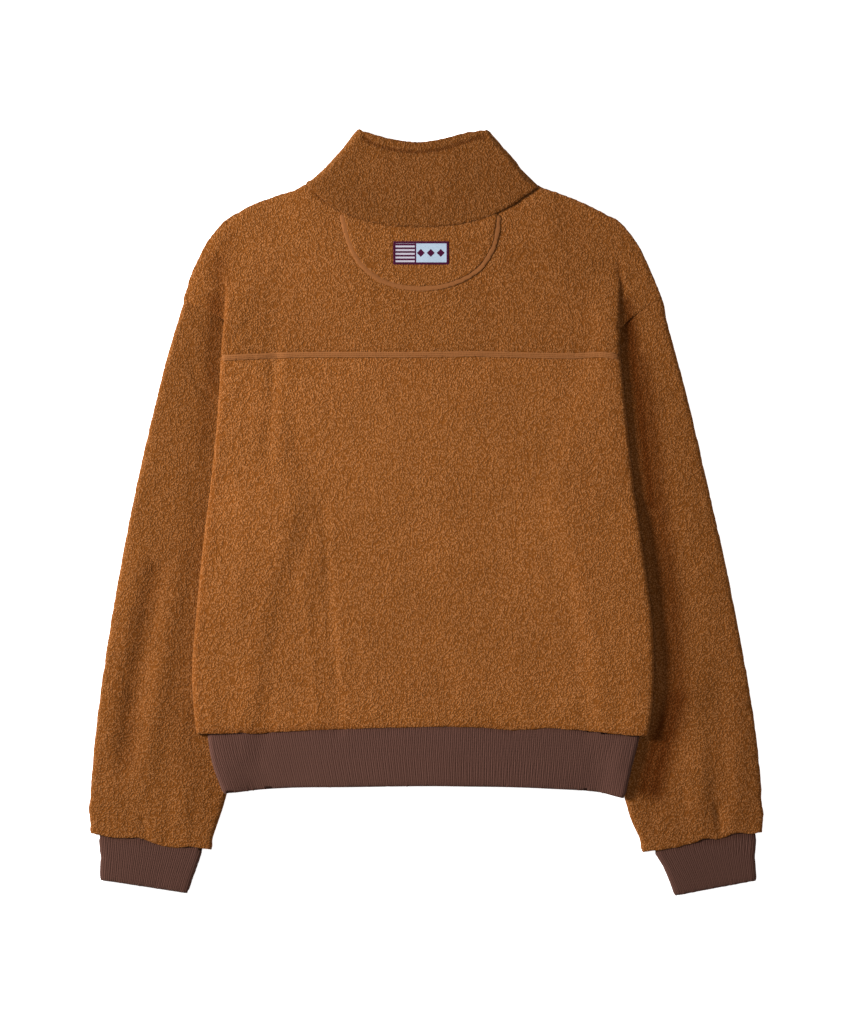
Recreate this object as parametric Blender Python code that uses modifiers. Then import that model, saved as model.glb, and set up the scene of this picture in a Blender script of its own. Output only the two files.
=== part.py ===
"""Fleece zip-up jacket, laid face down on a table with its back up.

X runs across the jacket, Y runs from the hem up to the collar and Z is up. The origin is on the table,
under the middle of the whole outline. Sizes in the tables are millimetres.
"""
import math
from collections import namedtuple

import bmesh
import bpy
from mathutils import Vector

MM = 0.001

# ---------------------------------------------------------------- driving dimensions, millimetres
FLEECE = 3.0                # wall of one layer of pile fleece
COLLAR_WALL = 5.0           # the collar is two layers sewn back to back
RIB_WALL = 2.6              # the hem band and the cuffs are rib knit, folded double
RIB_PITCH = 3.2             # one rib and its furrow
RIB_HEIGHT = 0.6
BAND_TURN = 3.0             # room that the turned sides of the hem band take up
SEAM_GAP = 0.3              # between two pieces at a seam
HIDDEN_GAP = 1.0            # the same between pieces that the back covers
SLEEVE_BACK = 1.0           # how far the sleeve's wall starts below the line of the armhole seam
LAYER_GAP = 1.4             # between the front panels and the back that lies on them
SLEEVE_GAP = 1.5            # between the two layers of a sleeve that lies flat
ROLL = 5.0                  # width of a folded edge
ROLL_DROP = 2.9             # how far a folded edge turns down
ROLL_STEPS = (0.0, 0.7, 2.2, ROLL)
ROLL_SHARES = (1.0, 0.52, 0.21, 0.0)
RAMP = 30.0                 # width of the slope beside a sleeve that lies under the body
OVER_SLEEVE = 4.5           # how far one layer rises where it passes over a sleeve
OVER_BOTH = 8.0             # the same where a front panel lies between
FRONT_OVER_SLEEVE = 7.9     # rise of the front panel over the sleeve
UNDERARM_Y = 23.0           # height of the underarm point
SIDE_TOP_Y = -12.0          # below this the front panels reach the side folds
ARMHOLE_Y = 201.0           # where the armhole seam passes under the side fold
SHOULDER_Y = 313.0          # height of the shoulder line above the side fold
APEX_Y = 260.0              # where the side fold runs out on the shoulder
NECK_RISE = 1.6             # the yoke rises over the front of the collar

FRONT_TOP = FLEECE
BACK_BOTTOM = FRONT_TOP + LAYER_GAP
BACK_TOP = BACK_BOTTOM + FLEECE

# ---------------------------------------------------------------- outline tables
# Side folds of the body, read up the back.
Side = namedtuple("Side", "y left right")
SIDES = (
    Side(-234, -239, 230),
    Side(-205, -242, 234),
    Side(-165, -244, 236),
    Side(-113, -240, 234),
    Side(-50, -234, 226),
    Side(13, -227, 217),
    Side(75, -220, 210),
    Side(138, -215, 204),
    Side(166, -214, 201),
    Side(201, -211, 199),
    Side(235, -209, 200),
    Side(260, -213, 203),
)

# Inner edge of the sleeves where the body hides them, the same distance out on both sides.
Under = namedtuple("Under", "y out")
UNDER = (
    Under(-300, 209.0),
    Under(-255, 201.0),
    Under(-200, 192.0),
    Under(-145, 183.0),
    Under(-95, 172.0),
    Under(-45, 160.0),
    Under(-8, 149.0),
    Under(23, 144.5),
    Under(75, 161.0),
    Under(138, 180.0),
    Under(166, 187.0),
    Under(260, 190.0),
)

# Seam between the fleece and the hem band, and the lower edge of the band.
Hem = namedtuple("Hem", "x seam_y edge_y")
HEM = (
    Hem(-240, -233, -297),
    Hem(-208, -233, -294),
    Hem(-153, -229, -289),
    Hem(-80, -226, -288),
    Hem(0, -224, -287),
    Hem(50, -224, -287.5),
    Hem(85, -228, -288),
    Hem(125, -225, -289.5),
    Hem(180, -229, -293),
    Hem(207, -232, -299),
    Hem(235, -233, -300),
)
Band = namedtuple("Band", "y left right")
BAND_SIDES = (
    Band(-300, -210, 206),
    Band(-287, -216, 211),
    Band(-266, -223, 215),
    Band(-248, -227, 219),
    Band(-233, -229, 224),
)

# Seam between the yoke and the back panel.
Across = namedtuple("Across", "x y")
YOKE_SEAM = (
    Across(-220, 162),
    Across(-180, 164),
    Across(-130, 166),
    Across(0, 166),
    Across(46, 167),
    Across(150, 164.5),
    Across(182, 166),
    Across(205, 163),
)

# Shoulder lines from the collar outwards, the rounded caps and the armhole seams, one row a point.
Point = namedtuple("Point", "x y")
LEFT_SHOULDER = (Point(-196, 313), Point(-184, 320), Point(-152, 332), Point(-123, 339))
RIGHT_SHOULDER = (Point(190, 310), Point(171, 320), Point(142, 332), Point(117, 340))
LEFT_CAP = (Point(-254, 219.5), Point(-246, 247), Point(-239, 263), Point(-229, 282), Point(-219, 295))
RIGHT_CAP = (Point(247, 222.5), Point(237, 247), Point(230, 263), Point(220, 282), Point(210, 295))
LEFT_CREASE = (Point(-211, 201), Point(-209, 235), Point(-213, 260), Point(-206, 290), Point(-196, 313))
RIGHT_CREASE = (Point(199, 191), Point(200, 232), Point(203, 257), Point(199, 288), Point(190, 310))
LEFT_ARMHOLE = (Point(-254, 219), Point(-231, 212), Point(-211, 200.5), Point(-184, 138),
                Point(-161, 75), Point(-147, 23))
RIGHT_ARMHOLE = (Point(247, 222), Point(222, 206), Point(199, 189.5), Point(180, 134),
                 Point(161, 75), Point(147, 23))

# Back neck seam: a flat curve, deepest a little left of the middle.
NECK_X = -5.0
NECK_Y = 297.8
NECK_DEPTH = 41.8
NECK_HALF = 121.0
NECK_POWER = 2.5
NECK_LEFT = -123.0
NECK_RIGHT = 117.0
SHOULDER_LENGTH = 80.0
SHOULDER_BOW = 2.5
SHOULDER_EDGE = 6.0         # width and height of the turned edge along shoulders and caps
SHOULDER_DROP = 1.1
ARM_BOW = 2.4

# Sleeves from the armhole to the wrist: the outer fold and the inner fold of the flat tube.
Fold = namedtuple("Fold", "outer_x outer_y inner_x inner_y")
LEFT_SLEEVE = (
    Fold(-254, 219, -147, 23),
    Fold(-270, 165, -150, -8),
    Fold(-286, 100, -160, -45),
    Fold(-302, 30, -172, -95),
    Fold(-317, -45, -183, -145),
    Fold(-332, -130, -192, -200),
    Fold(-344, -215, -201, -255),
    Fold(-351, -288, -209, -298),
    Fold(-352, -318, -219, -330),
    Fold(-349, -333, -226, -349),
)
RIGHT_SLEEVE = (
    Fold(247, 222, 147, 23),
    Fold(262, 165, 150, -8),
    Fold(278, 98, 160, -45),
    Fold(294, 28, 172, -95),
    Fold(311, -45, 183, -145),
    Fold(328, -130, 192, -200),
    Fold(343, -215, 201, -255),
    Fold(351, -288, 207, -298),
    Fold(352, -318, 217, -330),
    Fold(350, -331, 228, -350),
)
LEFT_CUFF = (
    Fold(-340, -338.5, -233, -352.5),
    Fold(-338, -361, -238, -368),
    Fold(-339, -383, -249, -397),
)
RIGHT_CUFF = (
    Fold(345, -336, 238, -355),
    Fold(343, -360, 248, -371),
    Fold(345, -384, 260, -400),
)

# Soft folds in the cloth: a line, its half width and its height, below zero for a trough.
Crease = namedtuple("Crease", "x0 y0 x1 y1 width height")
BACK_CREASES = (
    Crease(-119, 30, -102, -225, 13, -0.9),
    Crease(-145, 10, -130, -225, 14, 1.3),
    Crease(-88, -30, -72, -225, 16, 1.2),
    Crease(-157, 150, -167, 40, 12, -0.5),
    Crease(150, -40, 176, -215, 18, 1.3),
    Crease(120, 60, 136, -60, 20, 0.7),
)
LEFT_SLEEVE_CREASES = (
    Crease(-279, -53, -318, -275, 10, -0.9),
    Crease(-262, -40, -296, -280, 12, 2.0),
    Crease(-296, -30, -336, -250, 9, 1.4),
    Crease(-296, -318, -294, -338, 6, -0.8),
    Crease(-250, -230, -262, -335, 14, 1.6),
)
RIGHT_SLEEVE_CREASES = (
    Crease(304, -280, 307, -336, 7, -0.9),
    Crease(324, -180, 330, -325, 12, 1.8),
    Crease(282, -150, 286, -330, 14, 1.9),
    Crease(262, 60, 300, -120, 14, 1.2),
)

# Collar: the part that shows behind, its folds at the sides and the two front halves under it.
Station = namedtuple("Station", "neck_x neck_y top_x top_y")
LEFT_FOLD = Station(-123, 341, -71, 397)
RIGHT_FOLD = Station(117, 342, 65, 398)
COLLAR_BACK_TOP = (Point(-71, 397), Point(-53, 392), Point(-27, 386.5), Point(-8, 385), Point(15, 388),
                   Point(36, 394), Point(50, 398), Point(65, 398))
COLLAR_FRONT_TOP = (Point(5.2, 333), Point(30, 340), Point(50, 362), Point(62, 388))
FRONT_NECK = (Point(5.2, 257), Point(30, 262), Point(60, 279), Point(90, 306), Point(112, 332))
COLLAR_TURN = 3.1
COLLAR_ROWS = 5

HALF_MOON_ARC = (Point(-79, 284), Point(-67, 261), Point(-43, 243), Point(-6, 236), Point(30, 242),
                 Point(56, 258), Point(70, 282))
HALF_MOON_LEFT_X = -86.0
HALF_MOON_RIGHT_X = 74.0
TRIM_GAP = 0.5              # between a piece that lies on a panel and the panel
HALF_MOON_WALL = 1.1
WELT_WALL = 1.1
WELT_WIDTH = 3.1
LABEL_WALL = 0.8
LABEL_SIZE = (58.0, 24.0)
LABEL_CENTRE = (-5.2, 270.5)

# Zip down the middle of the front.
FRONT_EDGE = 4.3
TAPE_WIDTH = 14.0
TAPE_WALL = 0.7
CHAIN_WIDTH = 5.8
CHAIN_BOTTOM = 1.7
CHAIN_TOP = 3.0
ZIP_LOW_Y = -286.0
SLIDER_Y = 322.0
SLIDER_SIZE = (8.4, 12.0, 2.6)
SLIDER_BOTTOM = 1.8
EAR_SIZE = (1.1, 2.4, 1.3)
PULL_WIDTH = 5.4
PULL_LENGTH = 26.0
PULL_WALL = 0.8
PULL_AXIS_Z = 0.9
PULL_AXIS_Y = 318.0


# ---------------------------------------------------------------- small mathematics
def mix(a, b, t):
    """Value a share t of the way from a to b."""
    return a + (b - a) * t


def ease(t):
    """Soft step from 0 to 1."""
    t = min(max(t, 0.0), 1.0)
    return t * t * (3.0 - 2.0 * t)


def lookup(table, key, column, value):
    """Column of a table at a value of its key column, joined by smooth curves."""
    keys = [getattr(row, key) for row in table]
    values = [getattr(row, column) for row in table]
    value = min(max(value, keys[0]), keys[-1])
    last = len(keys) - 1
    i = max(k for k in range(last) if keys[k] <= value or k == 0)
    slopes = []
    for k in (i, i + 1):
        low, high = max(k - 1, 0), min(k + 1, last)
        slopes.append((values[high] - values[low]) / (keys[high] - keys[low]))
    span = keys[i + 1] - keys[i]
    t = (value - keys[i]) / span
    start = values[i] * (1 + 2 * t) * (1 - t) ** 2 + slopes[0] * span * t * (1 - t) ** 2
    end = values[i + 1] * t * t * (3 - 2 * t) - slopes[1] * span * t * t * (1 - t)
    return start + end


def along(points, t):
    """Point a share t of the way along a smooth line through the points."""
    lengths = [0.0]
    for a, b in zip(points, points[1:]):
        lengths.append(lengths[-1] + math.dist(a, b))
    Row = namedtuple("Row", "at x y")
    table = [Row(length, p[0], p[1]) for length, p in zip(lengths, points)]
    at = t * lengths[-1]
    return (lookup(table, "at", "x", at), lookup(table, "at", "y", at))


def patch(bottom, top, left, right, u, v):
    """Point of a four-sided patch between boundary curves, u across and v up."""
    corner = [bottom(0), bottom(1), top(0), top(1)]
    point = []
    for k in (0, 1):
        ruled = mix(bottom(u)[k], top(u)[k], v) + mix(left(v)[k], right(v)[k], u)
        twist = mix(mix(corner[0][k], corner[1][k], u), mix(corner[2][k], corner[3][k], u), v)
        point.append(ruled - twist)
    return tuple(point)


def crease_height(creases, x, y):
    """Height that the soft folds add to a layer at a place."""
    total = 0.0
    for c in creases:
        line = Vector((c.x1 - c.x0, c.y1 - c.y0))
        reach = Vector((x - c.x0, y - c.y0))
        t = reach.dot(line) / line.length_squared
        off = (reach - line * min(max(t, 0.0), 1.0)).length
        fade = ease(min(t, 1.0) * 3.0 + 0.4) * ease((1.15 - t) * 4.0)
        total += c.height * fade * math.exp(-(off / c.width) ** 2)
    return total


def roll_drop(distance):
    """Share of a folded edge's drop at a distance from the edge."""
    places = list(zip(ROLL_STEPS, ROLL_SHARES))
    for (d0, s0), (d1, s1) in zip(places, places[1:]):
        if distance <= d1:
            return mix(s0, s1, (distance - d0) / (d1 - d0))
    return 0.0


def side_x(y, side):
    """Side fold of the body at a height up the back, side -1 for left and 1 for right."""
    return lookup(SIDES, "y", "left" if side < 0 else "right", y)


def under_x(y, side):
    """Inner edge of the hidden part of a sleeve, with a little room."""
    return side * (lookup(UNDER, "y", "out", y) - 1.5)


def beside_sleeve(x, y):
    """1 over a hidden sleeve, falling to 0 over the slope beside it."""
    side = -1 if x < 0 else 1
    inward = (under_x(y, side) - x) * side
    return 1.0 - ease(inward / RAMP)


def side_fade(y):
    """0 above the underarm and 1 where the front panels lie between body and sleeve."""
    return ease((UNDERARM_Y - y) / (UNDERARM_Y - SIDE_TOP_Y))


def front_z(x, y):
    """Underside of the front layer."""
    return FRONT_OVER_SLEEVE * side_fade(y) * beside_sleeve(x, y)


def over_sleeve(y):
    """Rise of the back layer over a sleeve at a height up the back."""
    if y > ARMHOLE_Y:
        return OVER_SLEEVE * (1.0 - ease((y - ARMHOLE_Y) / (APEX_Y - ARMHOLE_Y)))
    return mix(OVER_SLEEVE, OVER_BOTH, side_fade(y))


def back_z(x, y):
    """Outer face of the back layer, without its folded edges."""
    neck = NECK_RISE * ease((y - 222.0) / 28.0) * ease((150.0 - abs(x)) / 25.0)
    rise = over_sleeve(y) * beside_sleeve(x, y)
    return BACK_TOP + max(neck, rise) + crease_height(BACK_CREASES, x, y)


def neck_y(x):
    """Back neck seam."""
    return NECK_Y + NECK_DEPTH * (abs(x - NECK_X) / NECK_HALF) ** NECK_POWER


def hem_y(x):
    """Seam above the hem band, straight between the columns of the back panel."""
    places = body_columns(BODY_ROWS[0])
    x = min(max(x, places[0]), places[-1])
    for a, b in zip(places, places[1:]):
        if x <= b:
            low, high = lookup(HEM, "x", "seam_y", a), lookup(HEM, "x", "seam_y", b)
            return mix(low, high, (x - a) / (b - a))
    return lookup(HEM, "x", "seam_y", x)


def yoke_y(x):
    """Seam between yoke and back panel."""
    return lookup(YOKE_SEAM, "x", "y", x)


# ---------------------------------------------------------------- making cloth
def material(name, color, roughness, metallic=0.0):
    """Plain material for one sub-part."""
    mat = bpy.data.materials.new(name)
    mat.use_nodes = True
    shader = mat.node_tree.nodes["Principled BSDF"]
    shader.inputs["Base Color"].default_value = (*color, 1.0)
    shader.inputs["Roughness"].default_value = roughness
    shader.inputs["Metallic"].default_value = metallic
    return mat


def add_object(name, mesh, mat):
    """Object in the jacket's collection with its own material."""
    obj = bpy.data.objects.new(name, mesh)
    mesh.materials.append(mat)
    jacket.objects.link(obj)
    return obj


def cloth(name, grid, wall, mat, outward, closed=False, keep=None, weights=None):
    """Wall of cloth on a grid of points.

    outward is 1 where the wall grows along the surface's normals and -1 where it grows against them.
    keep says which cells of the grid are made, and weights thins the wall at single points.
    """
    mesh = bpy.data.meshes.new(name)
    bm = bmesh.new()
    rows = [[bm.verts.new(Vector(p) * MM) for p in row] for row in grid]
    columns = len(grid[0])
    for i in range(len(grid) - 1):
        for j in range(columns if closed else columns - 1):
            if keep and not keep(i, j):
                continue
            k = (j + 1) % columns
            bm.faces.new((rows[i][j], rows[i][k], rows[i + 1][k], rows[i + 1][j]))
    loose = [v for v in bm.verts if not v.link_faces]
    bmesh.ops.delete(bm, geom=loose, context="VERTS")
    bm.to_mesh(mesh)
    bm.free()
    obj = add_object(name, mesh, mat)
    solid = obj.modifiers.new("Wall", "SOLIDIFY")
    solid.thickness = wall * MM
    solid.offset = outward
    solid.use_rim = True
    if weights:
        group = obj.vertex_groups.new(name="wall")
        for index, weight in enumerate(weights):
            group.add([index], weight, "REPLACE")
        solid.vertex_group = group.name
    return obj


def block(name, size, centre, mat):
    """Box of a size in millimetres round a centre."""
    mesh = bpy.data.meshes.new(name)
    bm = bmesh.new()
    bmesh.ops.create_cube(bm, size=1.0)
    for v in bm.verts:
        v.co = Vector([(v.co[k] * size[k] + centre[k]) * MM for k in range(3)])
    bm.to_mesh(mesh)
    bm.free()
    return add_object(name, mesh, mat)


def join_solids(target, others):
    """Boolean union of a few solids into the first one."""
    for other in others:
        union = target.modifiers.new("Join", "BOOLEAN")
        union.operation = "UNION"
        union.solver = "EXACT"
        union.object = other
        for collection in list(other.users_collection):
            collection.objects.unlink(other)
        cutters.objects.link(other)
        other.hide_render = True
        other.display_type = "WIRE"


# ---------------------------------------------------------------- body
BODY_ROWS = (-233.0, -205.0, -175.0, -145.0, -115.0, -85.0, -55.0, -30.0, SIDE_TOP_Y, 5.0, UNDERARM_Y,
             60.0, 100.0, 138.0, 166.0)
MIDDLE_COLUMNS = 8


def body_columns(y):
    """Places across the body where its columns of points stand at one height."""
    halves = []
    for side in (-1, 1):
        edge = side_x(y, side)
        under = under_x(y, side)
        inside = edge - side * ROLL
        half = [edge - side * step for step in ROLL_STEPS]
        half += [mix(inside, under, 0.5)]
        half += [under - side * RAMP * k / 3.0 for k in range(4)]
        halves.append(half)
    left, right = halves
    middle = [mix(left[-1], right[-1], k / (MIDDLE_COLUMNS + 1)) for k in range(1, MIDDLE_COLUMNS + 1)]
    return left + middle + right[::-1]


def fold_height(x, y, distance, drop):
    """Outer face of the back near a folded edge."""
    return back_z(x, y) - drop * roll_drop(distance)


def back_panel():
    """Back of the body below the yoke."""
    grid = []
    for y in BODY_ROWS:
        row = []
        for x in body_columns(y):
            low, high = hem_y(x), yoke_y(x) - SEAM_GAP / 2
            place = mix(low, high, (y - BODY_ROWS[0]) / (BODY_ROWS[-1] - BODY_ROWS[0]))
            edge = min(x - side_x(y, -1), side_x(y, 1) - x)
            row.append((x, place, fold_height(x, place, edge, ROLL_DROP)))
        grid.append(row)
    return cloth("back_panel", grid, FLEECE, fleece("back_panel"), -1)


CREASE_ROWS = (166.0, 183.0, ARMHOLE_Y - 1.0, ARMHOLE_Y, 215.0, 230.0, 245.0, 260.0, 275.0, 291.0)
CREASE_ROWS += (SHOULDER_Y - SHOULDER_EDGE, SHOULDER_Y)
ARM_ROW = CREASE_ROWS.index(ARMHOLE_Y)
ROLL_COLUMNS = len(ROLL_STEPS)
NECK_CORNER = ROLL_COLUMNS + 4
CAP_STEPS = (0.0, 0.15, 0.42, 0.7)


def crease_column(share, side):
    """Side fold of the yoke from the yoke seam up to the shoulder line."""
    edge = LEFT_CREASE if side < 0 else RIGHT_CREASE
    arm_share = (CREASE_ROWS[ARM_ROW] - CREASE_ROWS[0]) / (CREASE_ROWS[-1] - CREASE_ROWS[0])
    if share < arm_share:
        start = (side_x(CREASE_ROWS[0], side), yoke_y(side_x(CREASE_ROWS[0], side)) + SEAM_GAP / 2)
        return tuple(mix(start[k], edge[0][k], share / arm_share) for k in (0, 1))
    return along(edge, (share - arm_share) / (1.0 - arm_share))


def shoulder_distance(x, y):
    """Distance from a place to the outline of the caps and shoulders."""
    nearest = SHOULDER_EDGE
    for line in (LEFT_CAP + LEFT_SHOULDER, RIGHT_CAP + RIGHT_SHOULDER):
        for a, b in zip(line, line[1:]):
            run = Vector((b.x - a.x, b.y - a.y))
            reach = Vector((x - a.x, y - a.y))
            t = min(max(reach.dot(run) / run.length_squared, 0.0), 1.0)
            nearest = min(nearest, (reach - run * t).length)
    return nearest


def shoulder_top(column, columns, v):
    """Upper edge of the yoke: shoulder line, neck seam and shoulder line again."""
    last = columns - 1
    for line, k in ((LEFT_SHOULDER, column), (RIGHT_SHOULDER, last - column)):
        if k < ROLL_COLUMNS:
            narrow = ROLL_STEPS[k] / SHOULDER_LENGTH
            return along(line, mix(narrow, k / NECK_CORNER, v ** 4))
        if k < NECK_CORNER:
            return along(line, k / NECK_CORNER)
    x = mix(NECK_LEFT, NECK_RIGHT, (column - NECK_CORNER) / (last - 2 * NECK_CORNER))
    return (x, neck_y(x))


def yoke():
    """Upper back with the rounded shoulder caps that pass beyond the side folds."""
    base = body_columns(CREASE_ROWS[0])
    count = len(base)
    cap = len(CAP_STEPS)
    grid = []
    for i, crease_row in enumerate(CREASE_ROWS):
        v = (crease_row - CREASE_ROWS[0]) / (CREASE_ROWS[-1] - CREASE_ROWS[0])
        row = []
        sides = {side: crease_column(v, side) for side in (-1, 1)}
        for j, x0 in enumerate(base):
            u = (x0 - base[0]) / (base[-1] - base[0])
            low = (x0, yoke_y(x0) + SEAM_GAP / 2)
            high = shoulder_top(j, count, v)
            point = []
            for k in (0, 1):
                bend_left = sides[-1][k] - mix(crease_column(0, -1)[k], crease_column(1, -1)[k], v)
                bend_right = sides[1][k] - mix(crease_column(0, 1)[k], crease_column(1, 1)[k], v)
                point.append(mix(low[k], high[k], v) + mix(bend_left, bend_right, u))
            x, y = point
            drop = ROLL_DROP if i < ARM_ROW else over_sleeve(y) * beside_sleeve(x, y)
            steps = min(j, count - 1 - j)
            edge = ROLL_STEPS[steps] if steps < ROLL_COLUMNS else ROLL
            z = fold_height(x, y, edge, drop)
            z -= SHOULDER_DROP * (1.0 - ease(shoulder_distance(x, y) / SHOULDER_EDGE))
            row.append((x, y, z))
        for side in (-1, 1):
            row = add_cap(row, v, side)
        grid.append(row)
    wide = len(grid[0])

    def keep(i, j):
        return i >= ARM_ROW or cap <= j < wide - 1 - cap

    return cloth("back_yoke", grid, FLEECE, fleece("back_yoke"), -1, keep=keep)


def add_cap(row, v, side):
    """Add the points of one shoulder cap to a row of the yoke."""
    cap_line = LEFT_CAP if side < 0 else RIGHT_CAP
    crease = row[0] if side < 0 else row[-1]
    arm_share = (CREASE_ROWS[ARM_ROW] - CREASE_ROWS[0]) / (CREASE_ROWS[-1] - CREASE_ROWS[0])
    t = max(0.0, (v - arm_share) / (1.0 - arm_share))
    outer = along(cap_line, t)
    extra = []
    for step in CAP_STEPS:
        straight = [mix(outer[k], crease[k], step) for k in (0, 1)]
        bow = 4.0 * step * (1.0 - step)
        straight[1] += bow * (ARM_BOW * (1.0 - t) ** 3 + SHOULDER_BOW * t ** 3)
        drop = SHOULDER_DROP * (1.0 - ease(shoulder_distance(*straight) / SHOULDER_EDGE))
        extra.append((straight[0], straight[1], BACK_TOP - drop))
    return extra + row if side < 0 else row + extra[::-1]


def front_outline(y, side):
    """Outer edge of the inner part of a front panel: sleeve edge, armhole, cap and shoulder."""
    armhole = LEFT_ARMHOLE if side < 0 else RIGHT_ARMHOLE
    cap_line = LEFT_CAP if side < 0 else RIGHT_CAP
    shoulder = LEFT_SHOULDER if side < 0 else RIGHT_SHOULDER
    if y <= UNDERARM_Y:
        return under_x(y, side)
    rows = [Point(p.x - side * 2.5 * HIDDEN_GAP, p.y + HIDDEN_GAP / 2) for p in armhole[::-1]]
    rows += [Point(p.x, p.y) for p in cap_line[1:]]
    rows += [Point(p.x, p.y) for p in shoulder]
    for a, b in zip(rows, rows[1:]):
        if a.y <= y <= b.y:
            return mix(a.x, b.x, (y - a.y) / max(b.y - a.y, 1e-6))
    return rows[-1].x


FRONT_ROWS = BODY_ROWS[:-1] + (170.0, 189.0, 201.0, 212.0, 222.0, 234.0, 247.0, 263.0, 280.0, 295.0,
                               306.0, 318.0, 329.0)
FRONT_COLUMNS = 9


def front_neck_x(y, side):
    """Inner edge of a front panel: the zip, then the front neck seam."""
    y = y + 2 * HIDDEN_GAP
    if y <= FRONT_NECK[0].y:
        return side * FRONT_EDGE
    for a, b in zip(FRONT_NECK, FRONT_NECK[1:]):
        if a.y <= y <= b.y:
            return side * (mix(a.x, b.x, (y - a.y) / (b.y - a.y)) + 2 * HIDDEN_GAP)
    return side * (FRONT_NECK[-1].x + 2 * HIDDEN_GAP)


def front_panel(name, side):
    """One front panel, flat on the table and stepping up over the sleeve at its side."""
    grid = []
    side_row = FRONT_ROWS.index(SIDE_TOP_Y)
    for y in FRONT_ROWS:
        inner = front_neck_x(y, side)
        outer = front_outline(y, side)
        row = []
        edge = side_x(y, side) if y <= SIDE_TOP_Y else outer + side * 10.0
        for k in (0.0, 0.5):
            row.append(mix(edge, outer, k))
        if y <= ARMHOLE_Y:
            row += [outer - side * RAMP * k / 3.0 for k in range(4)]
        else:
            row += [mix(outer, inner, k / (FRONT_COLUMNS - 3)) for k in range(4)]
        rest = FRONT_COLUMNS - 6
        row += [mix(row[5], inner, (k + 1) / (rest + 1)) for k in range(rest + 1)]
        grid.append([(x, hem_y(x) + HIDDEN_GAP if y == FRONT_ROWS[0] else y, front_z(x, y)) for x in row])
    if side < 0:
        grid = [row[::-1] for row in grid]
    last = len(grid[0]) - 1

    def keep(i, j):
        column = j if side > 0 else last - 1 - j
        return column >= 2 or i < side_row

    return cloth(name, grid, FLEECE, fleece(name), -1, keep=keep)


# ---------------------------------------------------------------- sleeves, cuffs and hem band
def tube_section(outer, inner, bow, wall, low, high, across, top_extra):
    """Closed section of a flat tube: its inner face, from the outer fold over the top and back below."""
    o, i = Vector(outer), Vector(inner)
    direction = (i - o).normalized()
    sideways = Vector((-direction.y, direction.x))
    length = (i - o).length
    radius = (high - low) / 2.0
    inset = wall + radius
    points = []
    turn = (-90, -45, 0, 45, 90)
    middle = (low + high) / 2.0

    def place(distance, z):
        share = distance / length
        spot = o + direction * distance + sideways * bow(share)
        return (spot.x, spot.y, z)

    for angle in turn:
        a = math.radians(angle)
        points.append(place(inset - radius * math.cos(a), middle + radius * math.sin(a)))
    for share in across:
        distance = mix(inset, length - inset, share)
        p = place(distance, high)
        points.append((p[0], p[1], high + top_extra(p[0], p[1])))
    for angle in turn[::-1]:
        a = math.radians(angle)
        points.append(place(length - inset + radius * math.cos(a), middle + radius * math.sin(a)))
    below = 6
    for k in range(below, 0, -1):
        points.append(place(mix(inset, length - inset, k / (below + 1)), low))
    return points


SLEEVE_ACROSS = tuple((k + 1) / 10.0 for k in range(9))
SLEEVE_ROWS = 17
Lip = namedtuple("Lip", "up down drawn_in")
LIP_ROWS = (Lip(4.0, 0.0, 0.0), Lip(1.3, 0.6, 0.16), Lip(0.9, 1.0, 0.24))


def sleeve(name, side):
    """Flat tube from the armhole seam to the wrist, drawn in at its end to meet the cuff."""
    table = LEFT_SLEEVE if side < 0 else RIGHT_SLEEVE
    creases = LEFT_SLEEVE_CREASES if side < 0 else RIGHT_SLEEVE_CREASES
    armhole = LEFT_ARMHOLE if side < 0 else RIGHT_ARMHOLE
    cuff = (LEFT_CUFF if side < 0 else RIGHT_CUFF)[0]
    outer_line = [(row.outer_x, row.outer_y) for row in table]
    inner_line = [(row.inner_x, row.inner_y) for row in table]
    bend = armhole_bow(armhole)
    grid = []
    for k in range(SLEEVE_ROWS):
        t = k / (SLEEVE_ROWS - 1)
        fade = (1.0 - ease(t * 4.0))
        section = tube_section(
            along(outer_line, t), along(inner_line, t),
            lambda s, f=fade: bend(s) * f,
            FLEECE, FLEECE, FLEECE + SLEEVE_GAP, SLEEVE_ACROSS,
            lambda x, y: crease_height(creases, x, y) * in_view(x, y, side))
        grid.append(section)
    end = tube_section(
        (cuff.outer_x, cuff.outer_y), (cuff.inner_x, cuff.inner_y), lambda s: 0.0,
        RIB_WALL, FLEECE, FLEECE + SLEEVE_GAP, SLEEVE_ACROSS, lambda x, y: 0.0)
    last = grid[-1]
    grid.pop()
    for lip in LIP_ROWS:
        grid.append([(mix(a[0], b[0], lip.drawn_in), mix(a[1], b[1], lip.down) + lip.up,
                      mix(a[2], b[2], lip.drawn_in)) for a, b in zip(last, end)])
    if side < 0:
        grid = grid[::-1]
    return cloth(name, grid, FLEECE, fleece(name), 1, closed=True)


def in_view(x, y, side):
    """0 where the body hides a sleeve, 1 where the sleeve shows."""
    beyond = (x - side_x(max(y, SIDES[0].y), side)) * side
    return max(ease((beyond - 4.0) / 14.0), ease((HEM[0].edge_y - y) / 14.0))


def armhole_bow(armhole):
    """How far the armhole seam bows out from the straight line between its ends."""
    start, end = Vector(armhole[0]), Vector(armhole[-1])
    direction = (end - start).normalized()
    sideways = Vector((-direction.y, direction.x))
    Row = namedtuple("Row", "share off")
    table = []
    for p in armhole:
        reach = Vector(p) - start
        table.append(Row(reach.dot(direction) / (end - start).length, reach.dot(sideways)))

    def bow(share):
        share = min(max(share, 0.0), 1.0)
        for a, b in zip(table, table[1:]):
            if share <= b.share:
                return mix(a.off, b.off, (share - a.share) / (b.share - a.share)) - SLEEVE_BACK
        return -SLEEVE_BACK

    return bow


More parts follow.
